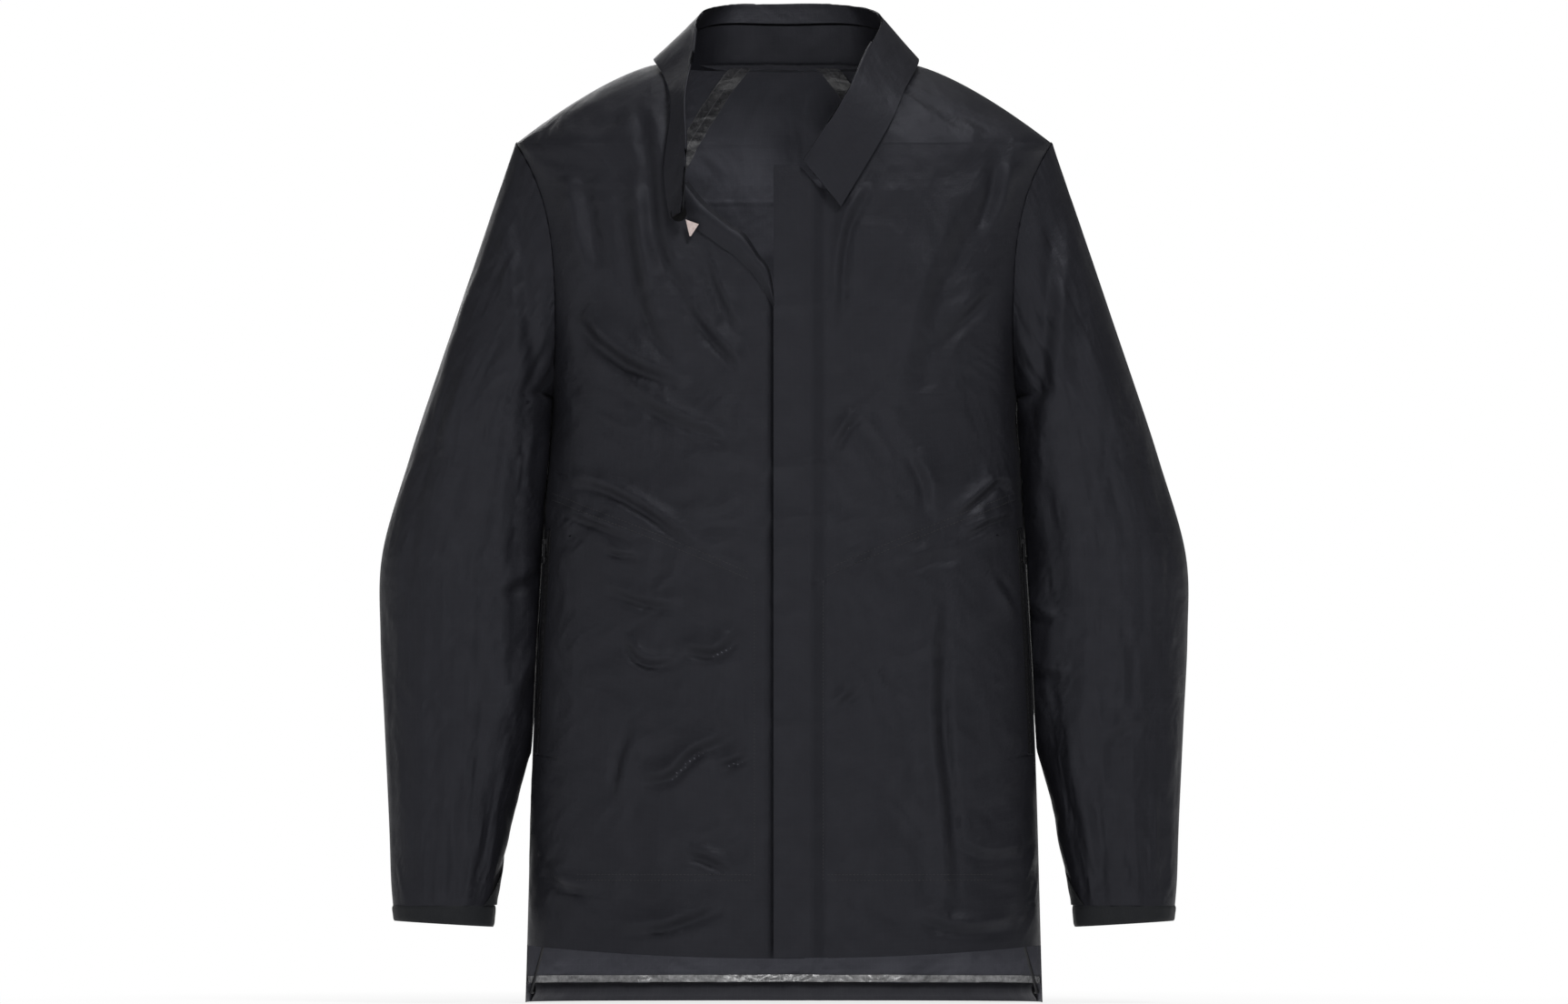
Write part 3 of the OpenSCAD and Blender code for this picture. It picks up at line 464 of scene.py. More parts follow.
def make_object(name, vertices, faces, material_ids, materials, normals=None, uv=None):
    mesh = bpy.data.meshes.new(name)
    mesh.from_pydata((np.asarray(vertices) * MM).tolist(), [], np.asarray(faces).tolist())
    for material in materials:
        mesh.materials.append(material)
    mesh.polygons.foreach_set("material_index", np.asarray(material_ids, np.int32))
    mesh.polygons.foreach_set("use_smooth", np.ones(len(faces), bool))
    if uv is not None:
        layer = mesh.uv_layers.new(name="weave")
        loops = np.asarray(faces).ravel()
        layer.data.foreach_set("uv", uv[loops].astype(np.float32).ravel())
    mesh.update()
    if normals is not None:
        mesh.normals_split_custom_set_from_vertices(np.asarray(normals).tolist())
    obj = bpy.data.objects.new(name, mesh)
    bpy.context.scene.collection.objects.link(obj)
    return obj


def sheet(name, points, materials, thickness=FABRIC_T, wrap=False, normals=None, uv_turn=0.0):
    """Thin closed solid under a grid of points. Columns then rows turn anticlockwise outside."""
    rows, cols = points.shape[:2]
    if normals is None:
        normals = grid_normals(points, wrap)
    inner = points - normals * thickness
    count = rows * cols
    index = np.arange(count).reshape(rows, cols)
    right = np.roll(index, -1, 1)
    spans = cols if wrap else cols - 1
    a, b = index[:-1, :spans], right[:-1, :spans]
    d, c = index[1:, :spans], right[1:, :spans]
    outer_faces = np.stack([a, b, c, d], -1).reshape(-1, 4)
    inner_faces = outer_faces[:, ::-1] + count
    low = np.stack([b[0], a[0], a[0] + count, b[0] + count], -1)
    high = np.stack([d[-1], c[-1], c[-1] + count, d[-1] + count], -1)
    rims = [low, high]
    if not wrap:
        rims.append(np.stack([a[:, 0], d[:, 0], d[:, 0] + count, a[:, 0] + count], -1))
        rims.append(np.stack([c[:, -1], b[:, -1], b[:, -1] + count, c[:, -1] + count], -1))
    rim_faces = np.concatenate(rims)
    faces = np.concatenate([outer_faces, inner_faces, rim_faces])
    ids = np.concatenate([
        np.zeros(len(outer_faces)), np.full(len(inner_faces), len(materials) - 1),
        np.zeros(len(rim_faces))])
    u, v = np.meshgrid(grid_run(points, 1), grid_run(points, 0))
    flat = np.stack([u.ravel(), v.ravel()], -1)
    turn = math.radians(uv_turn)
    flat = flat @ np.array([[math.cos(turn), math.sin(turn)], [-math.sin(turn), math.cos(turn)]])
    return make_object(
        name, np.concatenate([points.reshape(-1, 3), inner.reshape(-1, 3)]), faces, ids, materials,
        np.concatenate([normals.reshape(-1, 3), -normals.reshape(-1, 3)]), np.tile(flat, (2, 1)))


def steps_for(length):
    return max(2, int(round(length / POINT_GAP)) + 1)


def ride(obj, body, slot, *replaced):
    """The piece moves with one CAD body, and may stand for CAD nodes of that body."""
    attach(obj, body)
    finish_piece(replaced)
    return obj


def finish_piece(replaced):
    if replaced:
        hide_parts(*replaced)


# ---------------------------------------------------------------- materials

class Nodes:
    """A material's node tree, with short calls for the nodes used here."""

    def __init__(self, name):
        self.material = bpy.data.materials.new(name)
        self.material.use_nodes = True
        self.tree = self.material.node_tree
        self.shader = self.tree.nodes["Principled BSDF"]

    def link(self, source, target):
        if isinstance(source, bpy.types.NodeSocket):
            self.tree.links.new(source, target)
        elif isinstance(source, tuple) and len(source) == 3:
            target.default_value = (*source, 1.0)
        else:
            target.default_value = source

    def math(self, operation, a, b=0.0, c=0.0):
        node = self.tree.nodes.new("ShaderNodeMath")
        node.operation = operation
        for i, value in enumerate((a, b, c)):
            self.link(value, node.inputs[i])
        return node.outputs[0]

    def noise(self, vector, scale, detail=3.0, roughness=0.5):
        node = self.tree.nodes.new("ShaderNodeTexNoise")
        self.link(vector, node.inputs["Vector"])
        node.inputs["Scale"].default_value = scale
        node.inputs["Detail"].default_value = detail
        node.inputs["Roughness"].default_value = roughness
        return node.outputs["Fac"]

    def remap(self, value, low, high, to_low=0.0, to_high=1.0):
        node = self.tree.nodes.new("ShaderNodeMapRange")
        self.link(value, node.inputs["Value"])
        for name, number in zip(("From Min", "From Max", "To Min", "To Max"), (low, high, to_low, to_high)):
            node.inputs[name].default_value = number
        return node.outputs["Result"]

    def blend(self, factor, a, b):
        node = self.tree.nodes.new("ShaderNodeMix")
        node.data_type = "RGBA"
        self.link(factor, node.inputs["Factor"])
        self.link(a, node.inputs[6])
        self.link(b, node.inputs[7])
        return node.outputs[2]

    def place(self):
        return self.tree.nodes.new("ShaderNodeTexCoord").outputs["Object"]

    def weave_place(self):
        """Coordinates that run along the cloth, in metres."""
        node = self.tree.nodes.new("ShaderNodeUVMap")
        node.uv_map = "weave"
        split = self.tree.nodes.new("ShaderNodeSeparateXYZ")
        self.tree.links.new(node.outputs["UV"], split.inputs[0])
        return node.outputs["UV"], split.outputs[0], split.outputs[1]

    def bump(self, height, distance, strength=1.0, normal=None):
        node = self.tree.nodes.new("ShaderNodeBump")
        node.inputs["Strength"].default_value = strength
        node.inputs["Distance"].default_value = distance
        self.link(height, node.inputs["Height"])
        if normal is not None:
            self.link(normal, node.inputs["Normal"])
        return node.outputs["Normal"]

    def set(self, name, value):
        self.link(value, self.shader.inputs[name])


def stripes(n, coordinate, pitch, sharpness):
    """Thin lines across one coordinate, 1 on a line and 0 between them."""
    turn = n.math("MULTIPLY", coordinate, math.pi / pitch)
    wave = n.math("ABSOLUTE", n.math("COSINE", turn))
    return n.math("POWER", wave, sharpness)


def fabric(name, colour, light, roughness, sheen=0.12, grid=0.0052, pitch=0.0009, grid_lift=0.35):
    """Woven cloth: a fine plain weave, a faint ripstop grid, mottling and a slight sheen."""
    n = Nodes(name)
    uv, u, v = n.weave_place()
    place = n.place()
    mottle = n.remap(n.noise(place, 26, 4, 0.6), 0.3, 0.7)
    fine = n.remap(n.noise(uv, 900, 2, 0.6), 0.3, 0.7)
    lines = n.math("MAXIMUM", stripes(n, u, grid, 60), stripes(n, v, grid, 60))
    tone = n.math("MULTIPLY_ADD", mottle, 0.55, n.math("MULTIPLY", fine, 0.25))
    tone = n.math("MULTIPLY_ADD", lines, grid_lift, tone)
    n.set("Base Color", n.blend(tone, colour, light))
    n.set("Roughness", n.remap(n.noise(place, 60, 3), 0.3, 0.7, roughness - 0.05, roughness + 0.06))
    warp = n.math("SINE", n.math("MULTIPLY", u, 2 * math.pi / pitch))
    weft = n.math("SINE", n.math("MULTIPLY", v, 2 * math.pi / pitch))
    weave = n.math("MULTIPLY", warp, weft)
    surface = n.math("MULTIPLY_ADD", lines, 0.8, weave)
    fine_bump = n.bump(surface, 0.00006, 0.5)
    crease = n.noise(place, 95, 5, 0.62)
    n.set("Normal", n.bump(crease, 0.0022, 0.22, fine_bump))
    n.set("Sheen Weight", sheen)
    n.set("Sheen Roughness", 0.45)
    n.set("Specular IOR Level", 0.26)
    n.set("Specular Tint", (0.86, 0.88, 1.0))
    return n.material


def shell_fabric():
    return fabric("shell_fabric", (0.0048, 0.0048, 0.0066), (0.0086, 0.0086, 0.0112), 0.5, 0.01)


def inner_face():
    return fabric("inner_face", (0.056, 0.057, 0.070), (0.082, 0.083, 0.099), 0.46, 0.04, 0.0052, 0.0006, 0.2)


# Back hem facing cloth: its colour is raised well above the shell cloth's, as painted fill light for the shade it lies
# in under the jacket.
def hem_facing_painted_fill():
    return fabric("hem_facing_painted_fill", (0.020, 0.020, 0.024), (0.032, 0.032, 0.037), 0.52, 0.02)


def stretch_trim():
    """Close-knit stretch cloth of the cuffs, gussets and hang loop; the hem facing has a brightened cloth instead, as
    painted fill light.
    """
    n = Nodes("stretch_trim")
    uv, u, v = n.weave_place()
    rib = n.math("SINE", n.math("MULTIPLY", u, 2 * math.pi / 0.0013))
    fine = n.noise(uv, 1100, 2)
    tone = n.remap(fine, 0.3, 0.7)
    n.set("Base Color", n.blend(tone, (0.0030, 0.0037, 0.0052), (0.0058, 0.0070, 0.0092)))
    n.set("Roughness", n.remap(n.noise(n.place(), 70, 3), 0.3, 0.7, 0.62, 0.75))
    n.set("Normal", n.bump(n.math("MULTIPLY_ADD", fine, 0.5, rib), 0.0001, 0.5))
    n.set("Sheen Weight", 0.05)
    n.set("Specular IOR Level", 0.25)
    return n.material


def seam_tape(name, dark, light, pressed):
    """Heat-bonded tape: smooth, glossy, with small ripples and a few paler pressed lines."""
    n = Nodes(name)
    uv, u, v = n.weave_place()
    place = n.place()
    ripple = n.noise(place, 180, 4, 0.65)
    lines = n.math("MULTIPLY", stripes(n, v, 0.0088, 90), pressed)
    n.set("Base Color", n.blend(n.math("MAXIMUM", n.remap(ripple, 0.35, 0.65, 0, 0.5), lines), dark, light))
    n.set("Roughness", n.remap(n.noise(place, 320, 2), 0.3, 0.7, 0.16, 0.32))
    n.set("Normal", n.bump(ripple, 0.0016, 0.5))
    n.set("Coat Weight", 0.5)
    n.set("Coat Roughness", 0.15)
    return n.material


def thread():
    n = Nodes("thread")
    place = n.place()
    twist = n.math("SINE", n.math("MULTIPLY", n.noise(place, 300, 1), 60.0))
    n.set("Base Color", n.blend(n.remap(twist, -1, 1), (0.006, 0.006, 0.007), (0.016, 0.016, 0.018)))
    n.set("Roughness", 0.6)
    n.set("Normal", n.bump(twist, 0.00008, 0.5))
    return n.material


def moulded(name, colour, roughness, grain=420, metallic=0.0, gloss=0.5):
    """Moulded plastic or blackened metal with a fine grain and slightly worn high spots."""
    n = Nodes(name)
    place = n.place()
    wear = n.remap(n.noise(place, 130, 4, 0.65), 0.55, 0.75)
    worn = tuple(min(1.0, 2.6 * c) for c in colour)
    n.set("Base Color", n.blend(wear, colour, worn))
    n.set("Roughness", n.remap(n.noise(place, grain, 2), 0.3, 0.7, roughness - 0.06, roughness + 0.08))
    n.set("Metallic", metallic)
    n.set("Specular IOR Level", gloss)
    n.set("Normal", n.bump(n.noise(place, grain, 3), 0.00012, 0.4))
    return n.material


def braided_cord():
    n = Nodes("cord")
    place = n.place()
    braid = n.math("ABSOLUTE", n.math("SINE", n.math("MULTIPLY", n.noise(place, 500, 0), 30.0)))
    n.set("Base Color", n.blend(braid, (0.010, 0.010, 0.012), (0.03, 0.03, 0.033)))
    n.set("Roughness", 0.75)
    n.set("Normal", n.bump(braid, 0.0002, 0.6))
    return n.material


def label_cloth():
    n = Nodes("label")
    uv, u, v = n.weave_place()
    weave = n.math("MULTIPLY", n.math("SINE", n.math("MULTIPLY", u, 9000)), n.math("SINE", n.math("MULTIPLY", v, 9000)))
    n.set("Base Color", n.blend(n.remap(n.noise(uv, 500, 3), 0.3, 0.7), (0.42, 0.33, 0.31), (0.56, 0.47, 0.45)))
    n.set("Roughness", 0.6)
    n.set("Normal", n.bump(weave, 0.00005, 0.4))
    return n.material


SHELL = shell_fabric()
INNER = inner_face()
TRIM = stretch_trim()
FACING_PAINTED_FILL = hem_facing_painted_fill()
TAPE = seam_tape("seam_tape", (0.16, 0.16, 0.165), (0.52, 0.52, 0.53), 0)
SHOULDER_TAPE = seam_tape("shoulder_tape", (0.036, 0.036, 0.040), (0.17, 0.17, 0.18), 1)
THREAD = thread()
SNAP = moulded("snap_metal", (0.016, 0.016, 0.018), 0.34, 500, 0.7)
JET = moulded("jet_plastic", (0.0012, 0.0012, 0.0014), 0.6, gloss=0.08)
ZIP = moulded("zip_plastic", (0.006, 0.006, 0.007), 0.55, gloss=0.25)
LOCK = moulded("lock_plastic", (0.012, 0.012, 0.013), 0.5)
STEEL = moulded("spring_steel", (0.42, 0.42, 0.43), 0.28, 600, 1.0)
CORD = braided_cord()
LABEL = label_cloth()


# ---------------------------------------------------------------- stitches

STITCH_LEN = 2.3
STITCH_STEP = 3.1
STITCH_R = 0.27


def stitch_points(surface, path_u, path_v):
    """Centres, directions and normals of stitches along a path on a surface."""
    fine_u = along(np.array(path_u, float)[:, None], np.linspace(0, 1, 240))[:, 0]
    fine_v = along(np.array(path_v, float)[:, None], np.linspace(0, 1, 240))[:, 0]
    track = surface(fine_u, fine_v)
    run = np.concatenate([[0], np.cumsum(np.linalg.norm(np.diff(track, axis=0), axis=1))])
    stops = np.arange(STITCH_STEP / 2, run[-1], STITCH_STEP)
    u, v = np.interp(stops, run, fine_u), np.interp(stops, run, fine_v)
    ahead = surface(np.interp(stops + 0.5, run, fine_u), np.interp(stops + 0.5, run, fine_v))
    points, normals = surface_grid(surface, u, v, 0.3, 0.8)
    return points, unit(ahead - points + 1e-9), normals


def stitch_mesh(name, rows):
    """One mesh of small spindles, one for each stitch of a list of rows."""
    points = np.concatenate([r[0] for r in rows])
    ahead = np.concatenate([r[1] for r in rows])
    up = np.concatenate([r[2] for r in rows])
    side = unit(np.cross(up, ahead))
    rings = [(-0.5, 0.35, -0.9), (-0.28, 1.0, -0.1), (0.28, 1.0, -0.1), (0.5, 0.35, -0.9)]
    sides = 6
    vertices = []
    for shift, size, sink in rings:
        centre = points + ahead * shift * STITCH_LEN + up * STITCH_R * sink
        for k in range(sides):
            turn = 2 * math.pi * k / sides
            vertices.append(centre + STITCH_R * size * (math.cos(turn) * side + math.sin(turn) * up))
    per = len(vertices)
    cloud = np.stack(vertices, 1).reshape(-1, 3)
    quads = []
    for i in range(len(rings) - 1):
        for k in range(sides):
            a, b = i * sides + k, i * sides + (k + 1) % sides
            quads.append([a, b, b + sides, a + sides])
    last = (len(rings) - 1) * sides
    quads += [[3, 2, 1, 0], [5, 4, 3, 0], [last, last + 1, last + 2, last + 3], [last, last + 3, last + 4, last + 5]]
    starts = np.arange(len(points)) * per
    faces = (np.array(quads)[None] + starts[:, None, None]).reshape(-1, 4)
    return make_object(name, cloud, faces, np.zeros(len(faces)), [THREAD])


# ---------------------------------------------------------------- torso panels

LEFT_EDGE = [
    (0, FLAP_MERGE_X), (FRONT_NECK_Z - 20, FLAP_MERGE_X), (718, 46), (730, 60), (757, 85),
    (NECK_POINT_Z, NECK_HALF_W)]
RIGHT_EDGE = [
    (0, -18), (520, -18), (583, 6), (618, 13), (647, 34), (664, 57), (691, 82), (740, 93),
    (NECK_POINT_Z, NECK_HALF_W)]


def edge_angle(edge, z):
    """Angle of a front panel's inner edge; positive towards the wearer's own side of it."""
    knots = np.array(edge, float)
    return angle_at_x(np.interp(z, knots[:, 0], knots[:, 1]), z)


def panel_angles(edge, outer, s, z):
    return angle_at_arc(mix(arc_at(edge_angle(edge, z)), arc_at(outer(z)), s))


def armhole_side(z):
    return 90 - np.where((z > UNDERARM_Z) & (z < SHOULDER_Z), armhole_angle(z, ARMHOLE_FRONT, FRONT_DEPTH), 0)


def under_flap(a, z, out=0.0):
    """The wearer's right front, which dips in where the placket flap covers it."""
    x = body_point(a, z)[..., 0]
    return torso(a, z, out - 3.2 * smooth((x - FLAP_EDGE_X + 5) / 6))


def torso_sheet(name, a, z, mirrored=False, surface=torso):
    if mirrored:
        a, z = -a[:, ::-1], z[:, ::-1]
    over_shoulder = np.exp(-(((z - SHOULDER_Z) / 12) ** 2))
    points, normals = surface_grid(surface, a, z, 0.6, 1.6 + 9 * over_shoulder)
    return sheet(name, points, [SHELL, INNER], normals=normals)


def seam_heights(edge, s):
    """Heights of the slanted seam and the hem over the shares s of a front panel's width."""
    x = body_point(panel_angles(edge, lambda z: np.full(np.shape(z), 90.0), s, np.full(s.shape, 390.0)), 390.0)[..., 0]
    return slant_z(x), front_hem_z(x * 1.05)


def upper_front(side, edge, mirrored):
    s = np.linspace(0, 1, steps_for(235))
    seam, _ = seam_heights(edge, s)
    low = mix(seam[None, :], UNDERARM_Z, np.linspace(0, 1, steps_for(150))[:-1, None])
    turn = np.linspace(0, math.pi, 100)
    flat = ARMHOLE_MID_Z - ARMHOLE_HALF_H * np.cos(turn)
    top = np.linspace(SHOULDER_Z, NECK_POINT_Z - 0.6, steps_for(100))[1:]
    z = np.concatenate([low, np.repeat(np.concatenate([flat, top])[:, None], len(s), 1)])
    a = panel_angles(edge, armhole_side, s[None, :], z)
    obj = torso_sheet(f"front_{side}_upper_fabric", a, z, mirrored, under_flap if mirrored else torso)
    ride(obj, "shell", "shell_fabric", f"front_{side}_upper")


def lower_front(side, edge, mirrored):
    """Front below the slanted seam; only its outer columns draw back from the pocket opening."""
    s = np.linspace(0, 1, steps_for(235))
    seam, hem = seam_heights(edge, s)
    ends = (np.array([POCKET_LOW_Z, POCKET_HIGH_Z]) - hem[-1]) / (seam[-1] - hem[-1])
    t = np.sort(np.concatenate([np.linspace(0, 1, steps_for(345)), ends - 0.0004, ends + 0.0004]))[:, None]
    z = mix(hem[None, :], seam[None, :], t)
    flat = mix(arc_at(edge_angle(edge, z)), arc_at(90.0), s[None, :])
    open_rows = (t > ends[0]) & (t < ends[1])
    squeeze_span = 74
    shift = arc_at(90.0) - arc_at(90 - angle_from_side(POCKET_FRONT_REACH, z, FRONT_DEPTH))
    near_side = np.clip((flat - arc_at(90.0)) / squeeze_span + 1, 0, 1)
    a = angle_at_arc(flat - shift * near_side * open_rows)
    obj = torso_sheet(f"front_{side}_lower_fabric", a, z, mirrored, under_flap if mirrored else torso)
    ride(obj, "shell", "shell_fabric", f"front_{side}_lower")


def back_sheet(node, z):
    """Sheet of the back between its armholes or side seams, from a grid of heights."""
    s = np.linspace(0, 1, z.shape[1])
    inside = (z > UNDERARM_Z) & (z < SHOULDER_Z)
    cut = np.where(inside, armhole_angle(z, ARMHOLE_BACK, BACK_DEPTH), 0)
    a = angle_at_arc(mix(arc_at(90 + cut), arc_at(270 - cut), s[None, :]))
    obj = torso_sheet(f"{node}_fabric", a, z)
    ride(obj, "shell", "shell_fabric", node)


def back():
    """Back panel, and the yoke whose top edge rises at both shoulders."""
    cols = steps_for(600)
    turn = np.linspace(0, math.pi, 90)
    armhole = ARMHOLE_MID_Z - ARMHOLE_HALF_H * np.cos(turn)
    body = np.linspace(0, UNDERARM_Z, steps_for(UNDERARM_Z * 0.9))[:-1]
    level = np.concatenate([body, armhole, np.linspace(SHOULDER_Z, 781, steps_for(70))[1:]])
    low = np.append(level[level < YOKE_Z], YOKE_Z)
    high = np.insert(level[level > YOKE_Z], 0, YOKE_Z)
    across = np.abs(np.sin(np.linspace(math.pi / 2, 3 * math.pi / 2, cols)))
    top = mix(BACK_NECK_Z, NECK_POINT_Z - 0.6, smooth((across - 0.45) / 0.4))
    rise = mix(781, top[None, :], np.linspace(0, 1, 13)[1:, None])
    back_sheet("back_panel", np.repeat(low[:, None], cols, 1))
    back_sheet("back_yoke", np.concatenate([np.repeat(high[:, None], cols, 1), rise]))


def pocket_welt(side, mirrored):
    z = np.repeat(np.linspace(POCKET_LOW_Z, POCKET_HIGH_Z, steps_for(190))[:, None], 9, 1)
    front = 90 - angle_from_side(POCKET_BACK_REACH, z, FRONT_DEPTH)
    a = mix(front, 90.0, np.linspace(0, 1, 9)[None, :])
    obj = torso_sheet(f"pocket_welt_{side}_fabric", a, z, mirrored)
    ride(obj, "shell", "shell_fabric", f"pocket_welt_{side}")


def front_surface(x, z):
    """The front as its placket flap and panels make it, from x and z."""
    return torso(angle_at_x(x, z), z, placket_out(x))


def placket_flap():
    cols = np.concatenate([[0, 0.008, 0.02], np.linspace(0.05, 1, 26)])
    x = mix(FLAP_EDGE_X, FLAP_MERGE_X + 0.2, cols)[None, :]
    top = FRONT_NECK_Z - 20 * smooth((x - 10) / 22)
    t = np.linspace(0, 1, steps_for(760))[:, None]
    z = mix(front_hem_z(x) + 0.5, top, t)
    x = np.broadcast_to(x, z.shape)
    points, normals = surface_grid(front_surface, x, z, 0.6, 1.4)
    # The folded free edge turns in
    turned = 0.9 * (1 - smooth((x - FLAP_EDGE_X) / 1.6))[..., None]
    obj = sheet("placket_flap_fabric", points - normals * turned, [SHELL, SHELL], 1.5, normals=normals)
    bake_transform(obj)
    finish_piece(["placket_flap"])


def placket_carrier():
    x = np.linspace(-4, 32, 14)[None, :]
    z = np.linspace(FRONT_HEM_Z + 4, FRONT_NECK_Z - 12, 200)[:, None]
    x, z = np.broadcast_arrays(x, z)
    out = mix(1.9, -2.4, smooth((x - 17) / 9)) + 0.3 * lattice_noise(x / 30, z / 24, 61)
    points = torso(angle_at_x(x, z), z, out)
    obj = sheet("placket_carrier_fabric", points, [INNER, INNER], 0.6)
    ride(obj, "shell", "inner_face", "placket_carrier")


def lapel():
    """The upper right front edge, turned outwards over the chest."""
    roll = [(-81.5, 692), (-70, 677), (-56, 664.5), (-44, 655), (-33.5, 647.5), (-22, 631), (-13, 618), (-8, 592)]
    free = [(-82, 666), (-73, 654), (-62, 646), (-50, 637), (-40, 630), (-27, 617), (-18, 604), (-8.5, 586)]
    t = np.linspace(0, 1, 60)
    k = np.linspace(-0.12, 1, 18)[:, None, None]
    line = mix(along(roll, t)[None], along(free, t)[None], k)
    x, z = line[..., 0], line[..., 1]
    width = np.sin(math.pi * np.clip((k[..., 0] + 0.12) / 1.12, 0, 1) ** 0.62)
    out = 1.0 + 4.2 * width + 0.7 * lattice_noise(x / 22, z / 22, 71)
    out = out - 2.2 * (k[..., 0] < 0) + 0.4 * k[..., 0]
    points = body_point(angle_at_x(x, z), z, out)
    obj = sheet("lapel_facing_fabric", points[::-1], [SHELL, INNER], 0.9)
    ride(obj, "shell", "inner_face", "lapel_facing")


# ---------------------------------------------------------------- sleeves

# Sections from biceps to cuff: centre x, centre y, centre z, half width, half depth, tilt
SLEEVE_SECTIONS = np.array([
    (247, 5, 523, 47.5, 57, 12.7), (262, 8, 449, 57, 55, 8), (275.5, 10, 379, 65, 51, 0),
    (276.5, 10, 310, 65.5, 49, 0), (278, 6, 235, 60.5, 45, 0), (282.5, 0, 150, 52, 40, 0),
    (287, -2, 105, 46, 36.5, 0), (288, -4, 82, 43.2, 34.5, 0)])
CUFF_LOW = (288.2, -4.6, 66.5, 42, 33.5, 3.5)
# Place along the sleeve, counted in sections from the armhole, where its two pieces meet
SLEEVE_SPLIT = 2.7


def section_point(section, a, out=0.0):
    """Point of a sleeve section: 0 degrees is outwards, 90 the front, 180 inwards."""
    a = np.radians(a)
    w = np.sign(np.cos(a)) * np.abs(np.cos(a)) ** 0.88 * (section[..., 3] + out)
    d = np.sign(np.sin(a)) * np.abs(np.sin(a)) ** 0.88 * (section[..., 4] + out)
    tilt = np.radians(section[..., 5])
    x = section[..., 0] + w * np.cos(tilt)
    return np.stack([x, MID_Y + section[..., 1] - d, section[..., 2] + w * np.sin(tilt)], -1)


def armhole_point(a):
    """Point of the sleeve's top edge, which laps over the armhole's edge."""
    lap = 1.012
    a = np.radians(a)
    z = ARMHOLE_MID_Z + ARMHOLE_HALF_H * lap * np.cos(a)
    front = np.sin(a) > 0
    depth = np.where(front, FRONT_DEPTH, BACK_DEPTH) * dome(z)
    y = -np.where(front, ARMHOLE_FRONT, ARMHOLE_BACK) * lap * np.sin(a)
    power = ring_power(z)
    x = half_w(z) * (1 - np.abs(y / depth) ** power) ** (1 / power)
    # The underarm starts lower down inside the body, whose side hangs in a little there
    tuck = 1 - smooth((z - UNDERARM_Z) / 26)
    return np.stack([x + 0.9 - 6 * tuck, MID_Y + y, z - 4 * tuck], -1)


def sleeve_base(a, v):
    """Plain sleeve: v 0 is the armhole, 1 the biceps, 3 the elbow and 8 the cuff seam."""
    rings = np.stack([armhole_point(a)] + [section_point(s, a) for s in SLEEVE_SECTIONS])
    last = len(rings) - 1
    f = np.clip(v, 0, last - 1e-6)
    i = f.astype(int)
    u = (f - i)[..., None]

    def ring(k):
        return np.take_along_axis(rings, np.clip(k, 0, last)[None, ..., None], 0)[0]

    p0, p1, p2, p3 = ring(i - 1), ring(i), ring(i + 1), ring(i + 2)
    points = 0.5 * (
        2 * p1 + (p2 - p0) * u + (2 * p0 - 5 * p1 + 4 * p2 - p3) * u**2
        + (3 * p1 - p0 - 3 * p2 + p3) * u**3)
    # Keeps the underarm from arching up between the armhole and the biceps
    arch = np.clip(v, 0, 1) ** 2 * (1 - np.clip(v, 0, 1))
    points[..., 2] -= 35 * arch * smooth((-np.cos(np.radians(a)) - 0.3) / 0.5)
    return points


# Sleeve folds, in the same form as the fronts' folds, with x counted outwards
SLEEVE_FOLDS = {
    "left": [
        (((241, 669), (236, 590), (228, 500), (221, 424)), 3.6, 12, 1),
        (((250, 640), (262, 560), (268, 480)), 2.0, 16, 1),
        (((286, 305), (287, 275), (285, 250)), 2.4, 8, -1),
        (((272, 226), (286, 236), (300, 240)), 2.4, 9, 1),
        (((214, 352), (222, 336), (236, 330)), 3.2, 8, 1),
        (((212, 300), (226, 286), (246, 282)), 2.4, 8, 1),
        (((250, 190), (258, 150), (262, 110)), 2.4, 9, -1),
        (((256, 300), (250, 230), (240, 180)), 2.0, 14, 1),
    ],
    "right": [
        (((238, 680), (230, 600), (222, 520)), 3.4, 12, 1),
        (((214, 380), (232, 360), (252, 352)), 2.2, 9, 1),
        (((218, 300), (232, 272), (238, 240)), 2.4, 10, 1),
        (((286, 420), (290, 360), (286, 300)), 1.8, 16, 1),
        (((262, 200), (268, 150), (266, 104)), 2.0, 12, -1),
        (((252, 620), (272, 540), (276, 470)), 1.8, 18, 1),
    ],
}
SLEEVE_SEEDS = {"left": 80, "right": 90}


def sleeve_relief(side, a, v):
    base = sleeve_base(a, v)
    x, z = base[..., 0], base[..., 2]
    front = np.sin(np.radians(a)) > 0
    facing = smooth(np.abs(np.sin(np.radians(a))) / 0.5)
    folds = SLEEVE_FOLDS[side]
    flipped = [(tuple((548 - px, pz) for px, pz in crest), h, w, -s) for crest, h, w, s in folds]
    drawn = np.where(front, fold_relief(folds, x, z), 0.5 * fold_relief(flipped, x, z)) * facing
    seed = SLEEVE_SEEDS[side]
    around = 175 * np.sin(np.radians(a) / 2) ** 2 * 2
    around = np.where(front, around, 700 - around)
    soft = 1.6 * lattice_noise(around / 40, z / 160, seed) + 0.8 * lattice_noise(around / 26, z / 45, seed + 1)
    seam_fade = smooth(np.sin(np.radians(a) / 2) ** 2 * 20)
    creases = 1.3 * crumple(around, z, 42, seed + 2)
    pucker = 0.8 * lattice_noise(around / 9, v * 3, seed + 3) * np.exp(-((v / 0.12) ** 2))
    total = pucker + (1.3 * drawn + (soft + creases) * seam_fade) * smooth(v / 0.35) * mix(0.35, 1, smooth((8 - v) / 0.9))
    # Folds that gather at the underarm and in the crook of the elbow
    inner = np.exp(-(((np.mod(a, 360) - 160) / 60) ** 2))
    gather = np.sin(z / 8.5 + 0.03 * around) * np.exp(-(((z - 500) / 45) ** 2))
    crook = np.sin(z / 7.0 + 0.02 * around) * np.exp(-(((z - 365) / 38) ** 2))
    return total + inner * (1.1 * gather * smooth(v / 0.5) + 0.9 * crook)


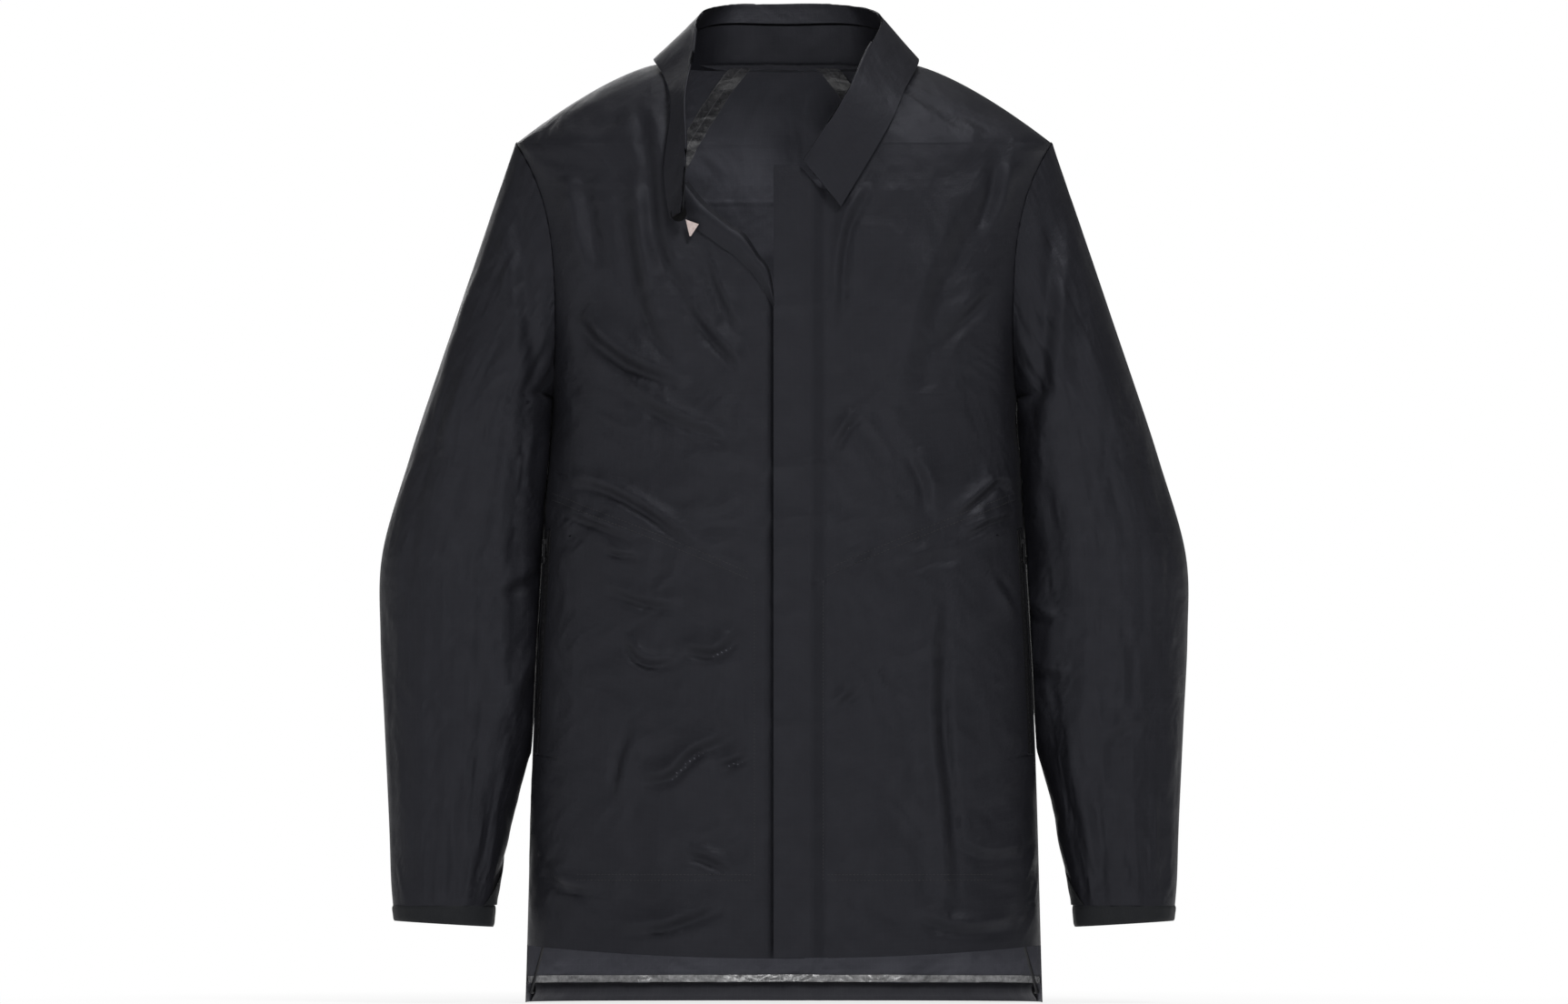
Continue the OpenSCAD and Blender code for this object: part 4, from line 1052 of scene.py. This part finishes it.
def rest_on_body(points, a, v, mark):
    """Lets the inner side of a sleeve hang against the side of the body."""
    x, y, z = np.moveaxis(points, -1, 0)
    lean = smooth((v - 0.8) / 0.3) * smooth((z - 150) / 120) * smooth((UNDERARM_Z + 4 - z) / 12)
    x = x - 11 * lean * np.clip(-np.cos(np.radians(a)), 0, 1) ** 1.5
    gap = np.abs(y - MID_Y)
    is_front = y < MID_Y
    depth = np.where(is_front, FRONT_DEPTH, BACK_DEPTH)
    reach = np.minimum(gap, 0.9 * depth * dome(z))
    turn = angle_from_side(reach, z, depth)
    body_a = np.where(is_front, 90 - turn, 90 + turn)
    side = body_point(body_a, z)[..., 0] + torso_relief(mark * body_a, z)
    # The forearm swings forward past the body, so it reaches in less behind the side
    swing_side = np.maximum(side, half_w(z) - 1.6 * smooth((gap - 12) / 25))
    limit = mix(swing_side, side, smooth((z - 385) / 25)) + 1.0
    outside = smooth((v - 0.25) / 0.35) * smooth((UNDERARM_Z - 1 - z) / 6)
    x = x + np.maximum(limit - x, 0) * outside
    return np.stack([x, y, z], -1)


def sleeve(side, v_low, v_high, rows):
    """Grid and normals of one stretch of a sleeve."""
    mark = 1 if side == "left" else -1

    def surface(a, v):
        base = sleeve_base(a, v)
        step_a = sleeve_base(a + 1, v) - sleeve_base(a - 1, v)
        step_v = sleeve_base(a, np.clip(v - 0.02, 0, 8)) - sleeve_base(a, np.clip(v + 0.02, 0, 8))
        normal = unit(np.cross(step_v, step_a))
        return rest_on_body(base + normal * sleeve_relief(side, a, v)[..., None], a, v, mark)

    cols = 124
    a = np.repeat((-np.arange(cols) * 360 / cols)[None, :], rows, 0)
    v = np.repeat(np.linspace(v_low, v_high, rows)[:, None], cols, 1)
    points, normals = surface_grid(surface, a, v, -0.8, -0.02)
    if side == "right":
        points, normals = points[:, ::-1] * [-1, 1, 1], normals[:, ::-1] * [-1, 1, 1]
    return points, normals


def sleeve_pieces(side):
    upper, forearm = f"upper_sleeve_{side}", f"forearm_{side}"
    points, normals = sleeve(side, SLEEVE_SPLIT, 0, 118)
    obj = sheet(f"upper_sleeve_{side}_fabric", points, [SHELL, INNER], wrap=True, normals=normals)
    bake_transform(obj)
    finish_piece([upper])
    points, normals = sleeve(side, 8, SLEEVE_SPLIT, 108)
    obj = sheet(f"forearm_sleeve_{side}_fabric", points, [SHELL, INNER], wrap=True, normals=normals)
    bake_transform(obj)
    finish_piece([f"forearm_sleeve_{side}"])


def cuff(side):
    """Cuff band of stretch cloth, rolled at both edges, and the gusset above it."""
    cols = 124
    a = -np.arange(cols) * 360 / cols
    t = np.linspace(0, 1, 14)
    last = SLEEVE_SECTIONS[-1]
    section = mix(np.array(CUFF_LOW, float), last, t[:, None])[:, None, :]
    roll = 0.7 - 0.9 * np.abs(2 * t - 1) ** 6
    wobble = 0.3 * lattice_noise(a[None, :] / 14, t[:, None] * 2, 95)
    points = section_point(section, a[None, :], 0.2 + roll[:, None] + wobble)
    low_section = SLEEVE_SECTIONS[-1]
    high_section = SLEEVE_SECTIONS[-2]
    h = np.linspace(0, 1, 26)[:, None]
    j = np.linspace(0, 1, 30)[None, :]
    spread = mix(58, 3, h)
    around = mix(196 + spread, 196 - spread, j)
    place = mix(low_section, high_section, mix(0.02, 1.85, h)[..., None])
    gusset = section_point(place, around, 1.7 + 0.4 * lattice_noise(around / 20, h * 4, 96))
    if side == "right":
        points, gusset = points[:, ::-1] * [-1, 1, 1], gusset[:, ::-1] * [-1, 1, 1]
    band = sheet(f"cuff_band_{side}_fabric", points, [TRIM, INNER], 1.6, wrap=True)
    ride(band, f"forearm_{side}", "stretch_trim", f"cuff_band_{side}")
    panel = sheet(f"cuff_gusset_{side}_fabric", gusset, [TRIM, INNER], 0.7)
    ride(panel, f"forearm_{side}", "stretch_trim", f"cuff_gusset_{side}")


# ---------------------------------------------------------------- collar

def on_front(x, z, out):
    """A collar key point that stands a distance out from the front panels."""
    return (x, float(front_y(x, z, out)), z)


NECK_LINE = [
    on_front(-84, 684, 3), on_front(-90, 726, 3), on_front(-96, 764, 1.5), on_front(-100.5, 786, 1),
    (-101, MID_Y - 2, 791), (-62, float(back_y(62, 789.6, -3)), 789),
    (0, float(back_y(0, 788, -3)), 788), (62, float(back_y(62, 789.6, -3)), 789),
    (101, MID_Y - 2, 791), on_front(95.5, 783, 1), on_front(82, 757, 1.5), on_front(34, 714, 3)]
STAND_LINE = [
    (-84, float(front_y(-84, 684, 12)), 680), (-87, float(front_y(-87, 726, 14)), 728),
    (-86, float(front_y(-90, 762, 13)), 768), (-86, MID_Y - 46, 795), (-87, MID_Y - 6, 815),
    (-58, MID_Y + 36, 827), (0, MID_Y + 44, 827), (60, MID_Y + 36, 827), (90, MID_Y - 6, 817),
    (82, MID_Y - 46, 790), (70, float(front_y(70, 757, 5.5)), 764),
    (20, float(front_y(20, 712, 6)), 715)]
ROLL_LINE = [
    (-87, float(front_y(-84, 684, 30)), 668), (-83, float(front_y(-87, 726, 30)), 722),
    (-84, float(front_y(-90, 762, 26)), 766), (-77, MID_Y - 50, 803), (-71, MID_Y - 10, 835),
    (-50, MID_Y + 40, 844), (0, MID_Y + 49, 845), (54, MID_Y + 40, 844), (82, MID_Y - 10, 833),
    (69, MID_Y - 54, 803), (54, float(front_y(54, 755, 12)), 771),
    (17, float(front_y(17, 708, 11)), 711)]
FALL_EDGE = [
    (-96, float(front_y(-96, 680, 14)), 663), (-101, float(front_y(-101, 708, 14)), 704),
    (-95, float(front_y(-94, 760, 17)), 758), (-101, MID_Y - 44, 783), (-109, MID_Y - 6, 798.5),
    (-78, MID_Y + 52, 789), (0, MID_Y + 64, 786), (80, MID_Y + 52, 789), (113, MID_Y - 10, 798.5),
    (101, float(front_y(101, 770, 9)), 770), (86, float(front_y(86, 738, 8)), 737),
    (48, float(front_y(48, 673, 6)), 673)]


def collar_surface(lines, rows, cols, seed, size):
    """Points of a collar sheet through its key lines, with light creases in it."""
    t = np.linspace(0, 1, cols)
    keys = np.stack([along(line, t) for line in lines])
    flat = keys.reshape(len(keys), -1)
    points = along(flat, np.linspace(0, 1, rows)).reshape(rows, cols, 3)
    normals = grid_normals(points)
    u = np.linspace(0, 560, cols)[None, :]
    v = np.linspace(0, size, rows)[:, None]
    relief = 0.55 * crumple(u, v, 30, seed) + 0.5 * lattice_noise(u / 50, v / 40, seed + 5)
    return points + normals * relief[..., None]


def collar():
    stand, roll, fall, neck = (np.array(line, float) for line in (STAND_LINE, ROLL_LINE, FALL_EDGE, NECK_LINE))
    stand_points = collar_surface([stand, mix(stand, neck, 0.5), neck], 16, 200, 101, 34)
    obj = sheet("collar_stand_fabric", stand_points, [SHELL, SHELL], 0.9)
    ride(obj, "shell", "shell_fabric", "collar_stand")
    inner_lift = mix(stand, roll, 0.1)
    lines = [fall, mix(roll, fall, 0.55), mix(roll, fall, 0.12), roll, mix(inner_lift, roll, 0.7), inner_lift]
    fall_points = collar_surface(lines, 46, 220, 103, 75)
    obj = sheet("collar_fall_fabric", fall_points, [SHELL, SHELL], 1.1)
    ride(obj, "shell", "shell_fabric", "collar_fall")


# ---------------------------------------------------------------- inside trim

def back_strip(z_low, z_high, depth_in, from_a, seed, wander, belly=0.0):
    """Strip round the inside of the back, at a depth inside its outer face, with a full middle."""
    arcs = np.linspace(arc_at(from_a), arc_at(360 - from_a), 190)[None, :]
    t = np.linspace(0, 1, 10)[:, None]
    shift = wander * lattice_noise(arcs / 60, arcs * 0 + 0.5, seed)
    z = mix(z_low, z_high, t) + shift
    a = angle_at_arc(arcs + 0 * t)
    ripple = 0.35 * lattice_noise(arcs / 9, t * 1.5, seed + 1)
    points = body_point(a, z, -depth_in - belly * smooth(t / 0.55) * smooth((1 - t) / 0.18))
    normals = grid_normals(points)
    return points + normals * (torso_relief(a, z) + ripple)[..., None]


def inside_trim():
    tape = sheet("back_hem_tape_strip", back_strip(16, 22, FABRIC_T + 0.5, 92, 111, 0.5), [TAPE, TAPE], 0.3)
    ride(tape, "shell", "seam_tape", "back_hem_tape")
    channel = back_strip(0.4, 15.2, FABRIC_T + 0.5, 101, 113, 0.3, 3.6)
    # The facing's brightened colour is painted fill light for the shade inside the back hem.
    facing = sheet("back_hem_facing_fabric", channel, [FACING_PAINTED_FILL, FACING_PAINTED_FILL], 0.7)
    ride(facing, "shell", "stretch_trim", "back_hem_facing")
    shoulder_tapes()
    front_hem_facings()


def shoulder_tapes():
    """Glossy tapes inside the back of each armhole seam, seen through the neck."""
    for side, mark in (("left", 1), ("right", -1)):
        t = np.linspace(0, 1, 60)[None, :]
        k = np.linspace(0, 1, 7)[:, None]
        z = mix(BACK_NECK_Z - 3, YOKE_Z + 28, t) + 0 * k
        x = mix(46, 102, t**0.85) - 17.8 * k + 1.2 * lattice_noise(t * 6, k, 120)
        out = -FABRIC_T - 1.0 - 0.5 * lattice_noise(t * 16, k * 2, 121)
        points = body_point(180 - angle_at_x(x, z), z, out)
        if mark < 0:
            points = points[:, ::-1] * [-1, 1, 1]
        obj = sheet(f"shoulder_tape_{side}", points[::-1, ::-1], [SHOULDER_TAPE, SHOULDER_TAPE], 0.35)
        ride(obj, "shell", "seam_tape", *(["shoulder_seam_tapes"] if mark > 0 else []))


def front_hem_facings():
    for side, edge, mirrored in (("left", LEFT_EDGE, False), ("right", RIGHT_EDGE, True)):
        s = np.linspace(0, 1, 90)[None, :]
        t = np.linspace(0, 1, 7)[:, None]
        arcs = mix(arc_at(edge_angle(edge, 60.0)), arc_at(88.0), s) + 0 * t
        x = body_point(angle_at_arc(arcs), 60.0)[..., 0]
        z = front_hem_z(x) + mix(0.4, 18, t)
        a = angle_at_arc(arcs)
        if mirrored:
            a, z = -a[:, ::-1], z[:, ::-1]
        points = (under_flap if mirrored else torso)(a, z, -FABRIC_T - 0.5)
        obj = sheet(f"front_hem_facing_{side}", points, [INNER, INNER], 0.5)
        ride(obj, "shell", "inner_face", *(["front_hem_facings"] if side == "left" else []))


def pocket_bag(side, mirrored):
    s = np.linspace(0, 1, 70)[None, :]
    t = np.linspace(0, 1, 96)[:, None]
    z = mix(POCKET_STITCH_Z, mix(SLANT_LOW_Z - 6, 404, s), t)
    a = angle_at_x(mix(34, half_w(z) - 20, s), z)
    sag = 4.5 + 3 * np.sin(math.pi * s) * np.sin(math.pi * t)
    if mirrored:
        a, z, sag = -a[:, ::-1], z[:, ::-1], sag[:, ::-1]
    obj = sheet(f"pocket_bag_{side}_fabric", torso(a, z, -sag), [INNER, INNER], 0.6)
    ride(obj, "shell", "inner_face", f"pocket_bag_{side}")


def hang_loop():
    """Webbing loop that lies on the slope of the back, just below the neck seam."""
    mid_z = BACK_NECK_Z - 6
    lean = math.atan2(float(back_y(0, mid_z - 4) - back_y(0, mid_z + 4)), 8)
    up = np.array([0, -math.sin(lean), math.cos(lean)])
    away = np.array([0, math.cos(lean), math.sin(lean)])
    mid = np.array([0, float(back_y(0, mid_z)), mid_z]) + 1.4 * away
    half_l, half_h = 21, 4.9
    turn = np.linspace(0, 2 * math.pi, 97)[:-1]
    x = half_l * np.clip(1.5 * np.cos(turn), -1, 1) + half_h * np.cos(turn)
    ring = mid + x[:, None] * [1, 0, 0] + (half_h * np.sin(turn))[:, None] * up
    out = unit(half_h * np.cos(turn)[:, None] * [1, 0, 0] + ((half_h + 4) * np.sin(turn))[:, None] * up)
    section = np.linspace(0, 2 * math.pi, 13)
    rings = np.stack([ring + 1.1 * math.cos(k) * out + 0.6 * math.sin(k) * away for k in section])
    obj = tube_object("hang_loop_webbing", rings, TRIM)
    ride(obj, "shell", "stretch_trim", "hang_loop")


def tube_object(name, rings, material):
    """Closed tube: each column is a place along it, each row a place round it; first row repeats last."""
    rings = rings[:-1]
    rows, cols = rings.shape[:2]
    index = np.arange(rows * cols).reshape(rows, cols)
    right, up = np.roll(index, -1, 1), np.roll(index, -1, 0)
    corner = np.roll(up, -1, 1)
    faces = np.stack([index, right, corner, up], -1).reshape(-1, 4)
    run = np.linspace(0, 0.12, cols)
    uv = np.stack([np.tile(run, rows), np.repeat(np.linspace(0, 0.006, rows), cols)], -1)
    return make_object(name, rings.reshape(-1, 3), faces, np.zeros(len(faces)), [material], uv=uv)


def side_label():
    """Small blank tab below the raised end of the collar."""
    low, high = box_mm("side_label")
    t = np.linspace(0, 1, 14)[:, None]
    s = np.linspace(0, 1, 12)[None, :]
    left = mix(np.array([low[0], high[2]]), np.array([low[0] + 3.2, low[2]]), t[..., None])
    right = mix(np.array([high[0], high[2] - 4]), np.array([low[0] + 4.4, low[2]]), t[..., None])
    flat = mix(left, right, s[..., None])
    y = mix(low[1], high[1], 0.5) + 0.6 * np.sin(math.pi * s) * (1 - t) + 0 * t
    points = np.stack([flat[..., 0], y, flat[..., 1]], -1)
    obj = sheet("side_label_tab", points[::-1], [LABEL, LABEL], 0.4)
    ride(obj, "shell", "label", "side_label")


# ---------------------------------------------------------------- seams' stitching

def torso_front(x, z):
    return torso(angle_at_x(x, z), z)


def stitching():
    rows = []
    flap_rows = []
    inner = 30
    for mark in (-1, 1):
        xs = np.linspace(inner, 196, 9)
        for lift in (2.0, 7.5):
            path = slant_z(xs) + lift
            rows.append(stitch_points(torso_front, mark * xs, path))
        for drop in (0, 5):
            xs = np.linspace(36 if mark > 0 else 27, 176, 5)
            rows.append(stitch_points(torso_front, mark * xs, np.full(5, POCKET_STITCH_Z - drop)))
    rows.append(stitch_points(torso_front, np.full(6, -25.0), np.linspace(104, SLANT_LOW_Z + 2, 6)))
    flap_rows.append(
        stitch_points(front_surface, np.full(6, float(FLAP_STITCH_X)), np.linspace(104, SLANT_LOW_Z + 2, 6)))
    obj = stitch_mesh("front_stitching", rows)
    ride(obj, "shell", "shell_fabric")
    obj = stitch_mesh("placket_stitching", flap_rows)
    ride(obj, "shell", "shell_fabric")
    back_rows = []
    xs = np.linspace(-176, 176, 13)
    for lift in (2.0, 7.5):
        back_rows.append(stitch_points(
            lambda x, z: torso(180 - angle_at_x(x, z), z), xs, np.full(13, YOKE_Z + lift)))
    obj = stitch_mesh("yoke_stitching", [(p, t, -n) for p, t, n in back_rows])
    ride(obj, "shell", "shell_fabric")


# ---------------------------------------------------------------- carried-over hardware

def dress(node, material):
    """Gives a shown CAD node its procedural material."""
    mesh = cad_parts[node].data
    mesh.materials.clear()
    mesh.materials.append(material)


def hardware():
    for node in ("snap_sockets", "snap_studs"):
        dress(node, SNAP)
    for node in ("collar_snap_stud", "collar_snap_socket"):
        dress(node, JET)
    dress("hem_drawcord", CORD)
    for side in ("left", "right"):
        for node in ("pocket_zip", "zip_slider", "zip_puller"):
            dress(f"{node}_{side}", ZIP)
        dress(f"cord_lock_{side}", LOCK)
        dress(f"cord_lock_button_{side}", LOCK)
        dress(f"cord_lock_spring_{side}", STEEL)


# ---------------------------------------------------------------- studio

def area_light(name, place, aim, size, power):
    data = bpy.data.lights.new(name, "AREA")
    data.shape = "DISK"
    data.size = size
    data.energy = power
    obj = bpy.data.objects.new(name, data)
    bpy.context.scene.collection.objects.link(obj)
    obj.location = place
    obj.rotation_euler = (Vector(aim) - Vector(place)).to_track_quat("-Z", "Y").to_euler()


def studio():
    """Pale floor that fades into the white surround, and wide soft lights."""
    mesh = bpy.data.meshes.new("floor")
    count = 96
    radius = 60.0
    ring = [(radius * math.cos(2 * math.pi * k / count), radius * math.sin(2 * math.pi * k / count), -0.0005)
            for k in range(count)]
    mesh.from_pydata(ring, [], [list(range(count))])
    floor = bpy.data.objects.new("floor", mesh)
    bpy.context.scene.collection.objects.link(floor)
    material = bpy.data.materials.new("floor_white")
    material.use_nodes = True
    tree = material.node_tree
    shader = tree.nodes["Principled BSDF"]
    shader.inputs["Base Color"].default_value = (0.86, 0.86, 0.86, 1)
    shader.inputs["Roughness"].default_value = 0.9
    glow = tree.nodes.new("ShaderNodeEmission")
    glow.inputs["Strength"].default_value = 1.0
    place = tree.nodes.new("ShaderNodeTexCoord")
    length = tree.nodes.new("ShaderNodeVectorMath")
    length.operation = "LENGTH"
    tree.links.new(place.outputs["Object"], length.inputs[0])
    fade = tree.nodes.new("ShaderNodeMapRange")
    fade.inputs["From Min"].default_value = 0.2
    fade.inputs["From Max"].default_value = 0.8
    fade.inputs["To Min"].default_value = 0.8
    tree.links.new(length.outputs["Value"], fade.inputs["Value"])
    mixer = tree.nodes.new("ShaderNodeMixShader")
    tree.links.new(fade.outputs["Result"], mixer.inputs[0])
    tree.links.new(shader.outputs[0], mixer.inputs[1])
    tree.links.new(glow.outputs[0], mixer.inputs[2])
    tree.links.new(mixer.outputs[0], tree.nodes["Material Output"].inputs["Surface"])
    mesh.materials.append(material)

    world = bpy.data.worlds.new("studio")
    world.use_nodes = True
    bpy.context.scene.world = world
    nodes, links = world.node_tree.nodes, world.node_tree.links
    seen = nodes["Background"]
    seen.inputs["Color"].default_value = (1, 1, 1, 1)
    seen.inputs["Strength"].default_value = 1.0
    ambient = nodes.new("ShaderNodeBackground")
    ambient.inputs["Color"].default_value = (1, 1, 1, 1)
    ambient.inputs["Strength"].default_value = 0.17
    path = nodes.new("ShaderNodeLightPath")
    chooser = nodes.new("ShaderNodeMixShader")
    links.new(path.outputs["Is Camera Ray"], chooser.inputs[0])
    links.new(ambient.outputs[0], chooser.inputs[1])
    links.new(seen.outputs[0], chooser.inputs[2])
    links.new(chooser.outputs[0], nodes["World Output"].inputs["Surface"])

    aim = (0, 0, 0.45)
    area_light("key", (0.9, -1.8, 3.2), aim, 0.9, 62)
    area_light("fill", (-3.2, -2.2, 1.4), aim, 1.4, 16)
    area_light("top", (0.0, 0.4, 3.2), aim, 1.4, 26)
    area_light("behind", (-1.0, 3.4, 1.8), aim, 2.2, 46)
    area_light("low", (0.0, -3.0, 0.15), (0, 0.1, 0.0), 0.5, 13)


def camera():
    data = bpy.data.cameras.new("camera")
    obj = bpy.data.objects.new("camera", data)
    bpy.context.scene.collection.objects.link(obj)
    bpy.context.scene.camera = obj
    distance = 30.0
    view_width = 1.328
    data.sensor_width = 36
    data.lens = data.sensor_width * distance / view_width
    data.clip_end = 200
    centre_z = 0.4235
    obj.location = (0, -distance, centre_z)
    obj.rotation_euler = (math.pi / 2, 0, 0)
    bpy.context.scene.view_settings.view_transform = "Standard"


# ---------------------------------------------------------------- build

for side, edge, mirrored in (("left", LEFT_EDGE, False), ("right", RIGHT_EDGE, True)):
    upper_front(side, edge, mirrored)
    lower_front(side, edge, mirrored)
    pocket_welt(side, mirrored)
    pocket_bag(side, mirrored)
    sleeve_pieces(side)
    cuff(side)
back()
placket_flap()
placket_carrier()
lapel()
collar()
inside_trim()
hang_loop()
side_label()
stitching()
hardware()
studio()
camera()
